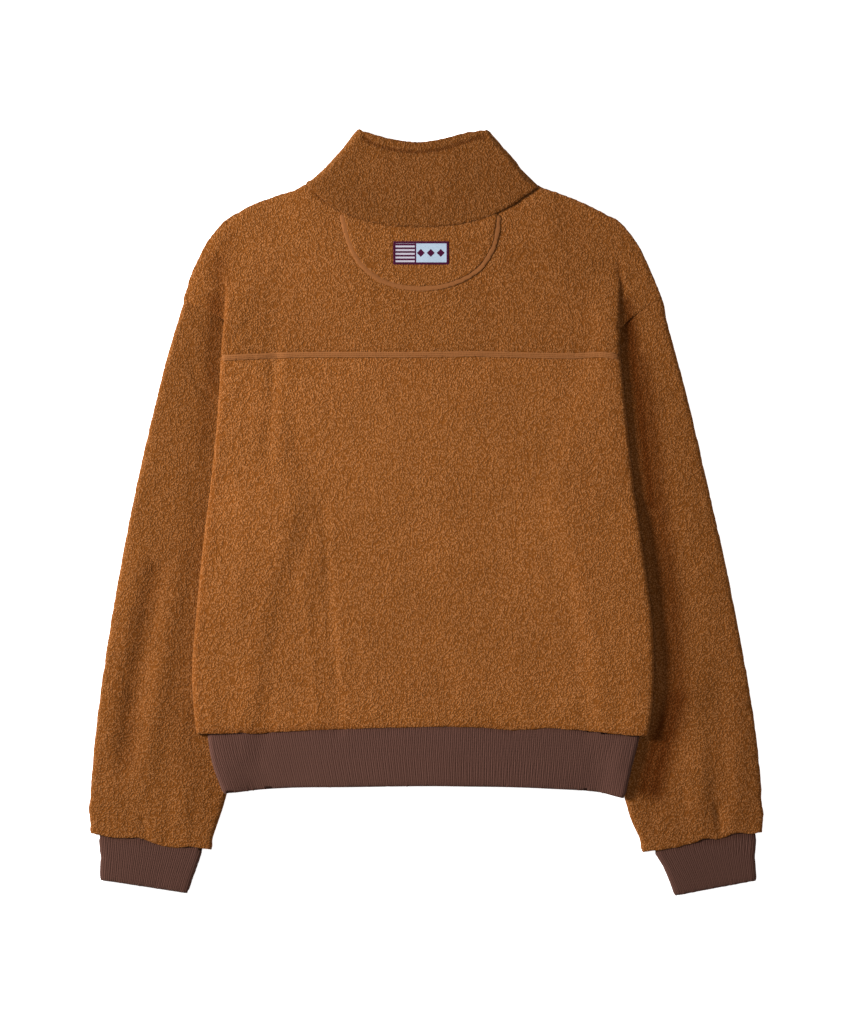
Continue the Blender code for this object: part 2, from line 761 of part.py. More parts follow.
def ribbed_tube(name, table, side):
    """Cuff: a flat tube of rib knit, ribs raised on its upper face over a plain inside."""
    width = math.dist((table[0].outer_x, table[0].outer_y), (table[0].inner_x, table[0].inner_y))
    ribs = int(width / RIB_PITCH)
    across = tuple((k + 1) / (2.0 * ribs) for k in range(2 * ribs - 1))
    grid = []
    for row in table:
        grid.append(tube_section(
            (row.outer_x, row.outer_y), (row.inner_x, row.inner_y), lambda s: 0.0,
            RIB_WALL, RIB_WALL + 0.2, RIB_WALL + 1.8, across, lambda x, y: 0.0))
    furrow = RIB_WALL / (RIB_WALL + RIB_HEIGHT)
    one_row = []
    for j in range(len(grid[0])):
        top = 5 <= j < 5 + len(across)
        one_row.append(1.0 if top and (j - 5) % 2 == 1 else furrow)
    if side < 0:
        grid = grid[::-1]
    return cloth(name, grid, RIB_WALL + RIB_HEIGHT, rib(name), 1, closed=True, weights=one_row * len(grid))


def hem_band():
    """Rib band from one zip edge round the back to the other, ribs raised on the back."""
    rows = (0.0, 0.5, 1.0)
    grid = []
    weights = []
    furrow = RIB_WALL / (RIB_WALL + RIB_HEIGHT)
    turn = (-90, -45, 0, 45, 90)
    width = lookup(BAND_SIDES, "y", "right", -233) - lookup(BAND_SIDES, "y", "left", -233)
    ribs = int(width / RIB_PITCH)
    for share in rows:
        y0 = mix(-233.0, -296.0, share)
        left = lookup(BAND_SIDES, "y", "left", y0) + RIB_WALL
        right = lookup(BAND_SIDES, "y", "right", y0) - RIB_WALL

        def spot(x, z):
            seam, edge = hem_y(x) - SEAM_GAP * 1.5, lookup(HEM, "x", "edge_y", x)
            return (x, mix(seam, edge, share), z)

        def below(x):
            return front_z(x, y0) + RIB_WALL

        def above(x):
            return over_sleeve(y0) * beside_sleeve(x, y0) + BACK_BOTTOM

        for side, edge in ((-1, left), (1, right)):
            under = side * min(abs(under_x(y0, side)), abs(edge) - BAND_TURN)
            half = [side * FRONT_EDGE]
            half += [mix(side * FRONT_EDGE, under - side * RAMP, k / 4.0) for k in (1, 2, 3)]
            half += [under - side * RAMP * k / 3.0 for k in (3, 2, 1, 0)]
            line = [spot(x, below(x)) for x in half]
            z0, z1 = below(edge), above(edge)
            radius = (z1 - z0) / 2.0
            for angle in turn:
                a = math.radians(angle)
                x = edge - side * (radius - radius * math.cos(a))
                line.append(spot(x, (z0 + z1) / 2.0 + radius * math.sin(a)))
            if side < 0:
                row = line
        for k in range(1, 2 * ribs):
            x = mix(left + radius, right - radius, k / (2.0 * ribs))
            row.append(spot(x, above(x)))
        row += line[::-1]
        grid.append(row)
        flat = len(line)
        weights += [furrow if j < flat or j >= len(row) - flat or (j - flat) % 2 == 1 else 1.0
                    for j in range(len(row))]
    grid = grid[::-1]
    return cloth("hem_band", grid, RIB_WALL + RIB_HEIGHT, rib("hem_band"), 1, weights=weights)


# ---------------------------------------------------------------- collar
def collar():
    """Stand collar folded flat: front halves below, the back above, a half turn at each side."""
    front_z_middle = COLLAR_WALL / 2.0
    back_z_middle = front_z_middle + 2 * COLLAR_TURN

    def front_half(side):
        half = []
        for k in range(5):
            t = k / 5.0
            neck = along(FRONT_NECK, t)
            top = along(COLLAR_FRONT_TOP, t)
            half.append(((side * neck[0], neck[1]), (side * top[0], top[1]), front_z_middle))
        return half

    def turn(fold, side):
        line = Vector((fold.top_x - fold.neck_x, fold.top_y - fold.neck_y)).normalized()
        out = Vector((side * abs(line.y), abs(line.x)))
        arc = []
        for angle in (-90, -45, 0, 45, 90):
            a = math.radians(angle)
            shift = out * (COLLAR_TURN * (math.cos(a) - 1.0) - COLLAR_WALL / 2.0)
            neck = (fold.neck_x + shift.x, fold.neck_y + shift.y)
            top = (fold.top_x + shift.x, fold.top_y + shift.y)
            arc.append((neck, top, front_z_middle + COLLAR_TURN * (1.0 + math.sin(a))))
        return arc

    stations = front_half(-1) + turn(LEFT_FOLD, -1)
    backs = MIDDLE_COLUMNS + 1
    for k in range(1, backs):
        x = mix(NECK_LEFT, NECK_RIGHT, k / backs)
        top = along(COLLAR_BACK_TOP, mix(0.05, 0.95, k / backs))
        stations.append(((x, neck_y(x) + 2 * SEAM_GAP), top, back_z_middle))
    stations += turn(RIGHT_FOLD, 1)[::-1]
    stations += front_half(1)[::-1]
    grid = []
    for i in range(COLLAR_ROWS):
        v = i / (COLLAR_ROWS - 1)
        grid.append([(mix(n[0], t[0], v), mix(n[1], t[1], v), z) for n, t, z in stations])
    return cloth("collar", grid, COLLAR_WALL, fleece("collar"), 0)


# ---------------------------------------------------------------- pieces that lie on the back
def half_moon_point(u, v):
    """Place on the half-moon patch under the collar."""
    arc = HALF_MOON_ARC

    def bottom(s):
        return along(arc, s)

    def top(s):
        x = mix(HALF_MOON_LEFT_X, HALF_MOON_RIGHT_X, s)
        return (x, neck_y(x) - 1.0)

    def left(s):
        return tuple(mix(bottom(0)[k], top(0)[k], s) for k in (0, 1))

    def right(s):
        return tuple(mix(bottom(1)[k], top(1)[k], s) for k in (0, 1))

    return patch(bottom, top, left, right, u, v)


def half_moon():
    """Half-moon patch below the back neck seam."""
    grid = []
    for i in range(7):
        row = []
        for j in range(15):
            x, y = half_moon_point(j / 14.0, i / 6.0)
            row.append((x, y, back_z(x, y) + TRIM_GAP))
        grid.append(row)
    return cloth("half_moon", grid, HALF_MOON_WALL, fleece("half_moon"), 1)


def half_moon_welt():
    """Narrow welt round the curved edge of the half-moon."""
    outline = [Point(HALF_MOON_LEFT_X, neck_y(HALF_MOON_LEFT_X) - 3.0)] + list(HALF_MOON_ARC)
    outline += [Point(HALF_MOON_RIGHT_X, neck_y(HALF_MOON_RIGHT_X) - 3.0)]
    steps = 28
    grid = [[], []]
    for k in range(steps + 1):
        here = Vector(along(outline, k / steps))
        before = Vector(along(outline, max(0.0, (k - 0.5) / steps)))
        after = Vector(along(outline, min(1.0, (k + 0.5) / steps)))
        run = (after - before).normalized()
        out = Vector((run.y, -run.x))
        for row, offset in zip(grid, (SEAM_GAP + WELT_WIDTH * 0.8, SEAM_GAP + 0.3)):
            p = here + out * offset
            row.append((p.x, p.y, back_z(p.x, p.y) + TRIM_GAP))
    return cloth("half_moon_welt", grid, WELT_WALL, welt("half_moon_welt"), 1)


def yoke_welt():
    """Narrow welt over the seam between yoke and back panel."""
    columns = body_columns(CREASE_ROWS[0])[2:-2]
    grid = []
    for offset in (-WELT_WIDTH / 2, WELT_WIDTH / 2):
        row = []
        for x in columns:
            edge = min(x - columns[0], columns[-1] - x) + ROLL_STEPS[2]
            row.append((x, yoke_y(x) + offset, fold_height(x, yoke_y(x), edge, ROLL_DROP) + SEAM_GAP + 0.1))
        grid.append(row)
    return cloth("yoke_welt", grid, WELT_WALL, welt("yoke_welt"), 1)


def label():
    """Woven label sewn on the half-moon."""
    grid = []
    for i in (-0.5, 0.5):
        row = []
        for j in (-0.5, -0.25, 0.0, 0.25, 0.5):
            x = LABEL_CENTRE[0] + j * LABEL_SIZE[0]
            y = LABEL_CENTRE[1] + i * LABEL_SIZE[1]
            row.append((x, y, BACK_TOP + NECK_RISE + TRIM_GAP + HALF_MOON_WALL + SEAM_GAP))
        grid.append(row)
    return cloth("label", grid, LABEL_WALL, material("label", (0.55, 0.60, 0.66), 0.7), 1)


# ---------------------------------------------------------------- zip
def zip_pieces():
    """Tapes, chain, slider and pull tab down the middle of the front."""
    tape_bottom = FRONT_TOP + SEAM_GAP
    for name, side in (("zip_tape_left", -1), ("zip_tape_right", 1)):
        length = FRONT_NECK[0].y - 4.0 - ZIP_LOW_Y
        centre = (side * (0.4 + TAPE_WIDTH / 2), ZIP_LOW_Y + length / 2, tape_bottom + TAPE_WALL / 2)
        block(name, (TAPE_WIDTH, length, TAPE_WALL), centre, material(name, (0.13, 0.08, 0.06), 0.8))
    chain_top_y = SLIDER_Y - SLIDER_SIZE[1] / 2 - SEAM_GAP
    length = chain_top_y - ZIP_LOW_Y
    height = CHAIN_TOP - CHAIN_BOTTOM
    centre = (0.0, ZIP_LOW_Y + length / 2, CHAIN_BOTTOM + height / 2)
    block("zip_chain", (CHAIN_WIDTH, length, height), centre, material("zip_chain", (0.16, 0.1, 0.07), 0.45))
    metal = material("zip_slider", (0.45, 0.42, 0.38), 0.35, 1.0)
    slider = block("zip_slider", SLIDER_SIZE, (0.0, SLIDER_Y, SLIDER_BOTTOM + SLIDER_SIZE[2] / 2), metal)
    ears = []
    ear_z = SLIDER_BOTTOM - EAR_SIZE[2] / 2 + 0.1
    for side in (-1, 1):
        centre = (side * (SLIDER_SIZE[0] - EAR_SIZE[0]) / 2, PULL_AXIS_Y, ear_z)
        ears.append(block("slider_ear", EAR_SIZE, centre, metal))
    join_solids(slider, ears)
    pull_tab()


def pull_tab():
    """Pull tab, a rounded tongue that turns between the slider's ears."""
    mesh = bpy.data.meshes.new("zip_pull")
    bm = bmesh.new()
    half = PULL_WIDTH / 2
    back = PULL_WALL / 2
    outline = [(half, back), (-half, back)]
    outline += [(-half * 0.75, -PULL_LENGTH * 0.35)]
    outline += [(half * math.cos(math.radians(a)), -PULL_LENGTH + half + half * math.sin(math.radians(a)))
                for a in (180, 216, 252, 288, 324, 360)]
    outline += [(half * 0.75, -PULL_LENGTH * 0.35)]
    face = bm.faces.new([bm.verts.new((x * MM, y * MM, -PULL_WALL / 2 * MM)) for x, y in outline])
    top = bmesh.ops.extrude_face_region(bm, geom=[face])
    moved = [g for g in top["geom"] if isinstance(g, bmesh.types.BMVert)]
    bmesh.ops.translate(bm, verts=moved, vec=(0, 0, PULL_WALL * MM))
    bmesh.ops.recalc_face_normals(bm, faces=bm.faces)
    bm.to_mesh(mesh)
    bm.free()
    tab = add_object("zip_pull", mesh, material("zip_pull", (0.45, 0.42, 0.38), 0.35, 1.0))
    tab.location = (0.0, PULL_AXIS_Y * MM, PULL_AXIS_Z * MM)


# ---------------------------------------------------------------- materials and assembly
def fleece(name):
    """Caramel pile fleece."""
    return material(name, (0.36, 0.145, 0.035), 0.95)


def rib(name):
    """Dark brown rib knit."""
    return material(name, (0.105, 0.05, 0.036), 0.9)


def welt(name):
    """Smooth tan tape."""
    return material(name, (0.45, 0.2, 0.08), 0.85)


for old in list(bpy.data.objects):
    bpy.data.objects.remove(old, do_unlink=True)
jacket = bpy.data.collections.new("fleece_jacket")
cutters = bpy.data.collections.new("cutters")
bpy.context.scene.collection.children.link(jacket)
bpy.context.scene.collection.children.link(cutters)

yoke()
back_panel()
front_panel("front_left", -1)
front_panel("front_right", 1)
sleeve("sleeve_left", -1)
sleeve("sleeve_right", 1)
ribbed_tube("cuff_left", LEFT_CUFF, -1)
ribbed_tube("cuff_right", RIGHT_CUFF, 1)
hem_band()
collar()
half_moon()
half_moon_welt()
yoke_welt()
label()
zip_pieces()
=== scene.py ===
# %% [markdown]
# # A fleece zip-up jacket, laid face down
# The jacket lies flat with its back up, and the camera hangs straight above it. The solids already have
# the garment's cut, its layers and its large folds. This lesson dresses them: each panel becomes a soft
# shell with a curly pile, the bands become rib knit, and the seams get their welts and stitches.

# %% Load the solids as a fixed frame
import math
from collections import namedtuple

import bmesh
import bpy
import numpy as np
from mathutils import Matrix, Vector, noise
from mathutils.bvhtree import BVHTree
from mathutils.kdtree import KDTree


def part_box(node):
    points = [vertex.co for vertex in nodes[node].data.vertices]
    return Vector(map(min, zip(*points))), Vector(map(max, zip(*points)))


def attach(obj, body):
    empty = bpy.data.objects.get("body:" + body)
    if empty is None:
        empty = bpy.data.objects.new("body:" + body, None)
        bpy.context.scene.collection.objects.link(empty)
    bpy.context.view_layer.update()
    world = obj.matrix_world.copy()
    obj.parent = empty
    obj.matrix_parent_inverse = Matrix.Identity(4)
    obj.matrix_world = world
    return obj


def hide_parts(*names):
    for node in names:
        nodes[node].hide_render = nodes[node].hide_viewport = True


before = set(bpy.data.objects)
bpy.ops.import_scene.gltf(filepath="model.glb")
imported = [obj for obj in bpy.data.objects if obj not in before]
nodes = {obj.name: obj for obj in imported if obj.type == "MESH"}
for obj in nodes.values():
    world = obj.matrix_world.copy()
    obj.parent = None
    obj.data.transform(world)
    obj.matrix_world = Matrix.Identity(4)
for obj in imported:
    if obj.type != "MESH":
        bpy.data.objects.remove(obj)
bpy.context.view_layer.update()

# %% [markdown]
# ## Where the sky sees the cloth
# A laid garment is looked at from above, so the fine faces belong where nothing covers the cloth. One
# search tree of all the solids answers that: a ray goes straight up from a point, and if it meets
# nothing, the point lies open.

# %% A search tree over all the solids
MM = 0.001


def tree_over(objects):
    """Search tree over the faces of several meshes."""
    points, faces = [], []
    for thing in objects:
        first = len(points)
        points += [v.co.copy() for v in thing.data.vertices]
        faces += [[first + i for i in face.vertices] for face in thing.data.polygons]
    return BVHTree.FromPolygons(points, faces)


solid_tree = tree_over(nodes.values())
UP = Vector((0.0, 0.0, 1.0))


def lies_open(point):
    """True where no layer covers a point."""
    return solid_tree.ray_cast(point + UP * 0.0003, UP)[0] is None


print("faces in the tree:", sum(len(solid.data.polygons) for solid in nodes.values()))

# %% [markdown]
# ## Even cells from a solid
# A solid's faces are long and uneven, which is fine for a wall of cloth that doesn't bend further, but
# pile and soft creases need even cells. The wall is copied, its loose triangles are merged, bisecting
# planes cut it into squares, and the side that lies open is cut again into much smaller ones.


# %% Copy a wall and cut it into even cells
def add_object(name, data):
    """A new object in the scene."""
    made = bpy.data.objects.new(name, data)
    bpy.context.scene.collection.objects.link(made)
    return made


def select_only(piece):
    """Make one piece the only selected and the active one."""
    bpy.ops.object.select_all(action="DESELECT")
    piece.select_set(True)
    bpy.context.view_layer.objects.active = piece


CELL = 0.020


def even_copy(solid, name):
    """A solid's mesh as a new piece, its triangles merged and cut by planes a cell apart, across and up."""
    piece = add_object(name, nodes[solid].data.copy())
    piece.data.materials.clear()
    select_only(piece)
    bpy.ops.object.mode_set(mode="EDIT")
    bpy.ops.mesh.select_all(action="SELECT")
    bpy.ops.mesh.remove_doubles(threshold=0.00001)
    bpy.ops.mesh.customdata_custom_splitnormals_clear()
    bpy.ops.object.mode_set(mode="OBJECT")
    corners = np.array([v.co for v in piece.data.vertices])
    low, high = corners.min(0), corners.max(0)
    bpy.ops.object.mode_set(mode="EDIT")
    for axis in (0, 1):
        normal = [0.0, 0.0, 0.0]
        normal[axis] = 1.0
        first = math.floor(low[axis] / CELL) + 1
        for k in range(first, math.ceil(high[axis] / CELL)):
            place = [0.0, 0.0, 0.0]
            place[axis] = k * CELL
            bpy.ops.mesh.select_all(action="SELECT")
            bpy.ops.mesh.bisect(plane_co=place, plane_no=normal)
    bpy.ops.mesh.select_all(action="SELECT")
    bpy.ops.mesh.quads_convert_to_tris(quad_method="BEAUTY", ngon_method="BEAUTY")
    bpy.ops.object.mode_set(mode="OBJECT")
    return piece


def open_points(piece):
    """Which points of a piece lie open."""
    return np.array([lies_open(v.co) for v in piece.data.vertices])


def open_faces(piece):
    """Which faces of a piece look up and lie open, if only at one corner."""
    corners = open_points(piece)
    return [face.normal.z > -0.3 and (any(corners[i] for i in face.vertices) or lies_open(face.center))
            for face in piece.data.polygons]


def cut_open_side(piece, size, axes=(0, 1)):
    """Cut the open side of a piece into squares of a size, one strip of cells after the other."""
    shape = bmesh.new()
    shape.from_mesh(piece.data)
    chosen = [face for face, is_open in zip(shape.faces, open_faces(piece)) if is_open]
    cuts = round(CELL / size)
    for axis in axes:
        normal = Vector((0.0, 0.0, 0.0))
        normal[axis] = 1.0
        strips = {}
        for face in chosen:
            strips.setdefault(math.floor(face.calc_center_median()[axis] / CELL), []).append(face)
        chosen = []
        for index, faces in sorted(strips.items()):
            for k in range(1, cuts):
                place = normal * ((index + k / cuts) * CELL)
                edges = {edge for face in faces for edge in face.edges}
                points = {point for face in faces for point in face.verts}
                parts = bmesh.ops.bisect_plane(shape, geom=faces + list(edges) + list(points), dist=1e-6,
                                               plane_co=place, plane_no=normal)
                faces = []
                for part in parts["geom"]:
                    if isinstance(part, bmesh.types.BMFace):
                        above = part.calc_center_median()[axis] > place[axis]
                        (faces if above else chosen).append(part)
            chosen += faces
    shape.to_mesh(piece.data)
    shape.free()


def vertex_array(piece, kind="co"):
    """The points of a piece as an array, or with "normal" the normals there."""
    flat = np.zeros(len(piece.data.vertices) * 3)
    piece.data.vertices.foreach_get(kind, flat)
    return flat.reshape(-1, 3)


print("cells of", CELL, "m")

# %% [markdown]
# ## Softening a cut wall
# Cloth has no facets. The open side is relaxed many times away from the sewn rims, and only a few
# times at the rims, so that the outline stays where the pattern put it and the edge becomes round.


# %% Relax the open side of a piece
SHARP = math.radians(50)
RIM_STEP, RIM_WIDTH = 0.003, 0.006


def rim_tree(piece):
    """Search tree over points on the sharp rims of a piece."""
    shape = bmesh.new()
    shape.from_mesh(piece.data)
    points = []
    for edge in shape.edges:
        if len(edge.link_faces) == 2 and edge.calc_face_angle(0.0) > SHARP:
            steps = max(1, int(edge.calc_length() / RIM_STEP))
            a, b = edge.verts[0].co, edge.verts[1].co
            points += [a.lerp(b, k / steps) for k in range(steps + 1)]
    shape.free()
    tree = KDTree(len(points))
    for index, point in enumerate(points):
        tree.insert(point, index)
    tree.balance()
    return tree


def relax(piece, chosen, rounds):
    """Smooth the chosen points a number of times."""
    mesh = piece.data
    mesh.polygons.foreach_set("select", [False] * len(mesh.polygons))
    mesh.edges.foreach_set("select", [False] * len(mesh.edges))
    mesh.vertices.foreach_set("select", chosen)
    bpy.ops.object.mode_set(mode="EDIT")
    bpy.ops.mesh.vertices_smooth(factor=0.5, repeat=rounds)
    bpy.ops.object.mode_set(mode="OBJECT")


def soften(piece, rims, rounds, rim_rounds):
    """Relax a piece where it lies open; returns which points do and how far each is from a rim."""
    open_here = open_points(piece)
    away = np.array([rims.find(v.co)[2] if o else 0.0 for v, o in zip(piece.data.vertices, open_here)])
    relax(piece, open_here & (away > RIM_WIDTH), rounds)
    relax(piece, open_here, rim_rounds)
    return open_here, away


# %% [markdown]
# ## Creases, placed one by one
# A folded garment keeps a few soft troughs and ridges where it was pressed or where a sleeve lies under
# the back. Each is a line with a width and a height, below zero for a trough. The same table serves all
# the pieces of the body, so that the layers stay parallel where they lie on each other.

# %% Tables of creases, in millimetres
Crease = namedtuple("Crease", "x0 y0 x1 y1 width height")
BODY_CREASES = (
    Crease(-108, 5, -90, -228, 6.0, -0.8),
    Crease(-128, -60, -112, -228, 6.0, 0.5),
    Crease(-96, -90, -86, -226, 7.0, 0.4),
    Crease(-157, 182, -167, 54, 6.0, -0.7),
    Crease(-146, 170, -152, 60, 8.0, 0.4),
    Crease(-64, -120, -50, -222, 9.0, 0.35),
    Crease(20, -150, 26, -222, 8.0, -0.35),
    Crease(92, -130, 104, -224, 9.0, 0.4),
    Crease(150, -60, 172, -222, 8.0, -0.45),
    Crease(-190, 20, -196, -120, 8.0, 0.35),
    Crease(-30, 60, 60, 20, 22.0, 0.3),
    Crease(100, 250, 150, 200, 12.0, -0.35),
    Crease(-150, 250, -110, 215, 12.0, -0.3),
    Crease(-226, 252, -196, 214, 7.0, -0.6),
    Crease(-176, 210, -206, 176, 6.0, -0.5),
    Crease(222, 246, 188, 214, 8.0, -0.5),
)
LEFT_CREASES = (
    Crease(-270, -53, -279, -60, 7.0, -0.4),
    Crease(-279, -60, -288, -113, 11.0, -1.0),
    Crease(-288, -113, -296, -155, 12.0, -1.2),
    Crease(-296, -155, -303, -197, 12.0, -1.3),
    Crease(-303, -197, -308, -240, 12.0, -1.2),
    Crease(-308, -240, -312, -270, 11.0, -0.8),
    Crease(-296, -322, -294, -337, 4.5, -1.3),
    Crease(-245, 150, -225, 118, 6.0, -0.9),
    Crease(-262, 60, -240, 40, 9.0, -0.4),
    Crease(-330, -262, -322, -334, 7.0, 0.5),
    Crease(-268, -262, -270, -342, 6.0, -0.6),
    Crease(-252, -300, -250, -348, 5.0, 0.5),
)
RIGHT_CREASES = (
    Crease(300, -284, 305, -316, 6.0, -0.6),
    Crease(305, -312, 308, -337, 4.5, -1.3),
    Crease(317, -318, 319, -334, 5.0, 0.7),
    Crease(322, -250, 326, -334, 7.0, 0.6),
    Crease(286, -255, 290, -340, 7.0, 0.5),
    Crease(270, -290, 268, -346, 6.0, -0.6),
    Crease(262, 120, 236, 92, 9.0, -0.4),
    Crease(296, 10, 262, -26, 12.0, 0.4),
    Crease(318, -90, 280, -120, 12.0, -0.4),
)
print("creases:", len(BODY_CREASES) + len(LEFT_CREASES) + len(RIGHT_CREASES))


# %% Height that the creases and the slack of the cloth add at a place
def soft_step(t):
    """Soft step from 0 to 1."""
    t = np.clip(t, 0.0, 1.0)
    return t * t * (3.0 - 2.0 * t)


def line_distance(points, line):
    """Distance of each point to a line of straight stretches, in millimetres."""
    x, y = points[:, 0] / MM, points[:, 1] / MM
    nearest = np.full(len(points), 1e9)
    for (x0, y0), (x1, y1) in zip(line, line[1:]):
        run_x, run_y = x1 - x0, y1 - y0
        t = ((x - x0) * run_x + (y - y0) * run_y) / (run_x ** 2 + run_y ** 2)
        t = np.clip(t, 0.0, 1.0)
        off = np.hypot(x - x0 - t * run_x, y - y0 - t * run_y)
        nearest = np.minimum(nearest, off)
    return nearest


def crease_lift(points, creases):
    """Lift of each point, in metres."""
    total = np.zeros(len(points))
    for c in creases:
        distance = line_distance(points, [(c.x0, c.y0), (c.x1, c.y1)])
        total += c.height * np.exp(-(distance / c.width) ** 2)
    return total * MM


SLACK = 0.0005


def slack_lift(points, size, height, seed):
    """Slow unevenness of cloth that isn't ironed, in metres."""
    lifts = [noise.noise(Vector((p[0] / size, p[1] / size, seed))) for p in points]
    return np.array(lifts) * height


def broad_slack(points):
    """Slack of a hand's width, the same on all the pieces."""
    return slack_lift(points, 0.045, SLACK, 3.0)


def cloth_slack(points):
    """Broad slack with a narrower one on it."""
    return broad_slack(points) + slack_lift(points, 0.018, SLACK * 0.35, 9.0)


# %% [markdown]
# ## The body's broad form, eased
# The solids step up where the back lies over a hidden sleeve. Heavy fleece spans such a step in a long
# slow slope. The heights of the body are read once on a grid and blurred twice, a little and a lot, and
# all the pieces of the body move by most of the difference, so that they stay on each other.

# %% Grid of the body's heights
LEFT_SIDE = [(-206, 290), (-213, 260), (-209, 235), (-211, 201), (-214, 166), (-220, 75), (-227, 13),
             (-234, -50), (-240, -113), (-244, -165), (-242, -205), (-238, -234), (-227, -248), (-216, -290)]
RIGHT_SIDE = [(199, 288), (203, 257), (200, 232), (199, 201), (201, 166), (210, 75), (217, 13), (226, -50),
              (234, -113), (236, -165), (234, -205), (229, -234), (219, -248), (211, -290)]
GRID = 0.005
GRID_LOW = (-0.245, -0.300)
GRID_SIZE = (98, 126)
LITTLE, LOT = 3, 75    # rounds of the two blurs
EASED_SHARE = 0.92
SIDE_KEPT, SIDE_SLOPE = 8.0, 26.0    # nothing is eased at the sides of the body
SHOULDER, SHOULDER_SLOPE = 290.0, 40.0    # and nothing above this height


def blurred(values, rounds):
    """A grid blurred by its neighbours a number of times."""
    for _ in range(rounds):
        for axis in (0, 1):
            before, after = np.roll(values, 1, axis), np.roll(values, -1, axis)
            values = (before + 2.0 * values + after) / 4.0
    return values


def side_at(side, y):
    """Where a side of the body is at a height up the back, in millimetres."""
    xs, ys = zip(*side[::-1])
    return np.interp(y / MM, ys, xs)


def eased_grid():
    """How far each place of the body rises when its steps become slow slopes, in metres."""
    heights, weights = np.zeros(GRID_SIZE), np.zeros(GRID_SIZE)
    for j in range(5, GRID_SIZE[1] - 5):
        y = GRID_LOW[1] + j * GRID
        low, high = side_at(LEFT_SIDE, y) + 6.0, side_at(RIGHT_SIDE, y) - 6.0
        for i in range(5, GRID_SIZE[0] - 5):
            x = GRID_LOW[0] + i * GRID
            hit = solid_tree.ray_cast(Vector((x, y, 0.05)), -UP)[0]
            if hit is not None and low < x / MM < high:
                heights[i, j], weights[i, j] = hit.z, 1.0
    little, wide = (blurred(heights, rounds) / np.maximum(blurred(weights, rounds), 1e-6)
                    for rounds in (LITTLE, LOT))
    return (wide - little) * (weights > 0.0)


EASED = blurred(eased_grid(), 2)


def ease_lift(points):
    """Lift of each point of the body towards its eased form, in metres."""
    place_x = np.clip((points[:, 0] - GRID_LOW[0]) / GRID, 0, GRID_SIZE[0] - 1.001)
    place_y = np.clip((points[:, 1] - GRID_LOW[1]) / GRID, 0, GRID_SIZE[1] - 1.001)
    i, j = place_x.astype(int), place_y.astype(int)
    u, v = place_x - i, place_y - j
    lift = EASED[i, j] * (1 - u) * (1 - v) + EASED[i + 1, j] * u * (1 - v)
    lift += EASED[i, j + 1] * (1 - u) * v + EASED[i + 1, j + 1] * u * v
    aside = np.minimum(line_distance(points, LEFT_SIDE), line_distance(points, RIGHT_SIDE))
    below_shoulder = (SHOULDER - points[:, 1] / MM) / SHOULDER_SLOPE
    return lift * EASED_SHARE * soft_step((aside - SIDE_KEPT) / SIDE_SLOPE) * soft_step(below_shoulder)


print("eased by", round(float(EASED.min()) / MM, 2), "to", round(float(EASED.max()) / MM, 2), "mm")

# %% [markdown]
# ## Lines where the pile is pressed, and painted shade
# Along a seam or a row of stitches the pile is caught down, so the cloth has a narrow furrow. The same
# distance to the line gives the furrow's depth and a mask of painted shade for the finish, which darkens the
# furrow.
# Beside the body the sleeves drop into a hollow between layers that lie loose on the real table. Here they
# are closer together, so wide lines with a strong mask paint the shade and the body's shadow onto the
# sleeves.


# %% Seam and shade lines, in millimetres
NECK_LOW, NECK_RISE, NECK_MIDDLE, NECK_HALF = 297.8, 41.8, -5.0, 121.0


def neck_line(low=-123.0, high=117.0, count=40):
    """Seam between collar and back."""
    xs = [low + (high - low) * k / count for k in range(count + 1)]
    return [(x, NECK_LOW + NECK_RISE * (abs(x - NECK_MIDDLE) / NECK_HALF) ** 2.5) for x in xs]


# A line's shade is painted shade: its mask darkens the finish along the line.
Seam = namedtuple("Seam", "points width depth shade")
COLLAR_STITCHES = [(-66, 388), (-58, 384.5), (-45, 380.5), (-27, 377), (-8, 375.5), (15, 378), (36, 384),
                   (50, 388.5), (62, 389)]
YOKE_LINE = [(-214, 160.7), (-180, 162.4), (-130, 164.4), (0, 164.4), (46, 165.4), (150, 162.9), (182, 164.4),
             (201, 161.9)]


def shifted(line, up):
    """A line moved up the back."""
    return [(x, y + up) for x, y in line]


# Painted shade in the furrows of the neck seam and the yoke welt, and on the body's left rim, which faces the
# light.
BODY_SEAMS = (
    Seam(neck_line(), 1.9, 0.5, 0.32),
    Seam(shifted(YOKE_LINE, 3.2), 1.7, 0.3, 0.07),
    Seam(shifted(YOKE_LINE, -2.6), 1.4, 0.3, 0.08),
    Seam(LEFT_SIDE, 9.0, 0.0, 0.25),
)
# Painted shade along the bottom of the back panel, above the hem band.
PANEL_SEAMS = BODY_SEAMS + (Seam([(-240, -233), (-153, -230), (-80, -227)], 6.0, 0.5, 0.32),
                            Seam([(-80, -227), (50, -225), (235, -233)], 5.0, 0.4, 0.21))
# On the yoke: painted shade beside both sides of the body.
YOKE_SEAMS = BODY_SEAMS + (Seam([(-216, 262), (-214, 232)], 11.0, 0.5, 0.45),
                           Seam([(-219, 222), (-220, 200)], 12.0, 0.3, 0.68),
                           Seam([(200.5, 258), (203, 228)], 4.5, 0.5, 0.30),
                           Seam([(208, 218), (211.5, 206), (213, 196)], 8.5, 0.4, 0.74))
# Painted shade in the furrows of the neck seam and the collar's topstitching.
COLLAR_SEAMS = (
    Seam(neck_line(), 1.9, 0.5, 0.36),
    Seam(COLLAR_STITCHES, 1.7, 1.0, 0.6),
)
# Beside the left side of the body: a shallow trough and painted shade on the sleeve, and painted shade in the
# trough of its long crease.
LEFT_HOLLOW_SHADE = (
    Seam(LEFT_SIDE, 26.0, 0.8, 0.10),
    Seam(LEFT_SIDE[:8], 26.0, 0.0, 0.20),
    Seam([(-220, 204), (-222, 180), (-224, 140)], 12.0, 0.0, 0.52),
    Seam([(-224, 140), (-231, 75)], 12.0, 0.0, 0.36),
    Seam([(-285, -62), (-297, -113), (-307, -170), (-312, -235), (-313, -258)], 11.0, 0.0, 0.26),
)
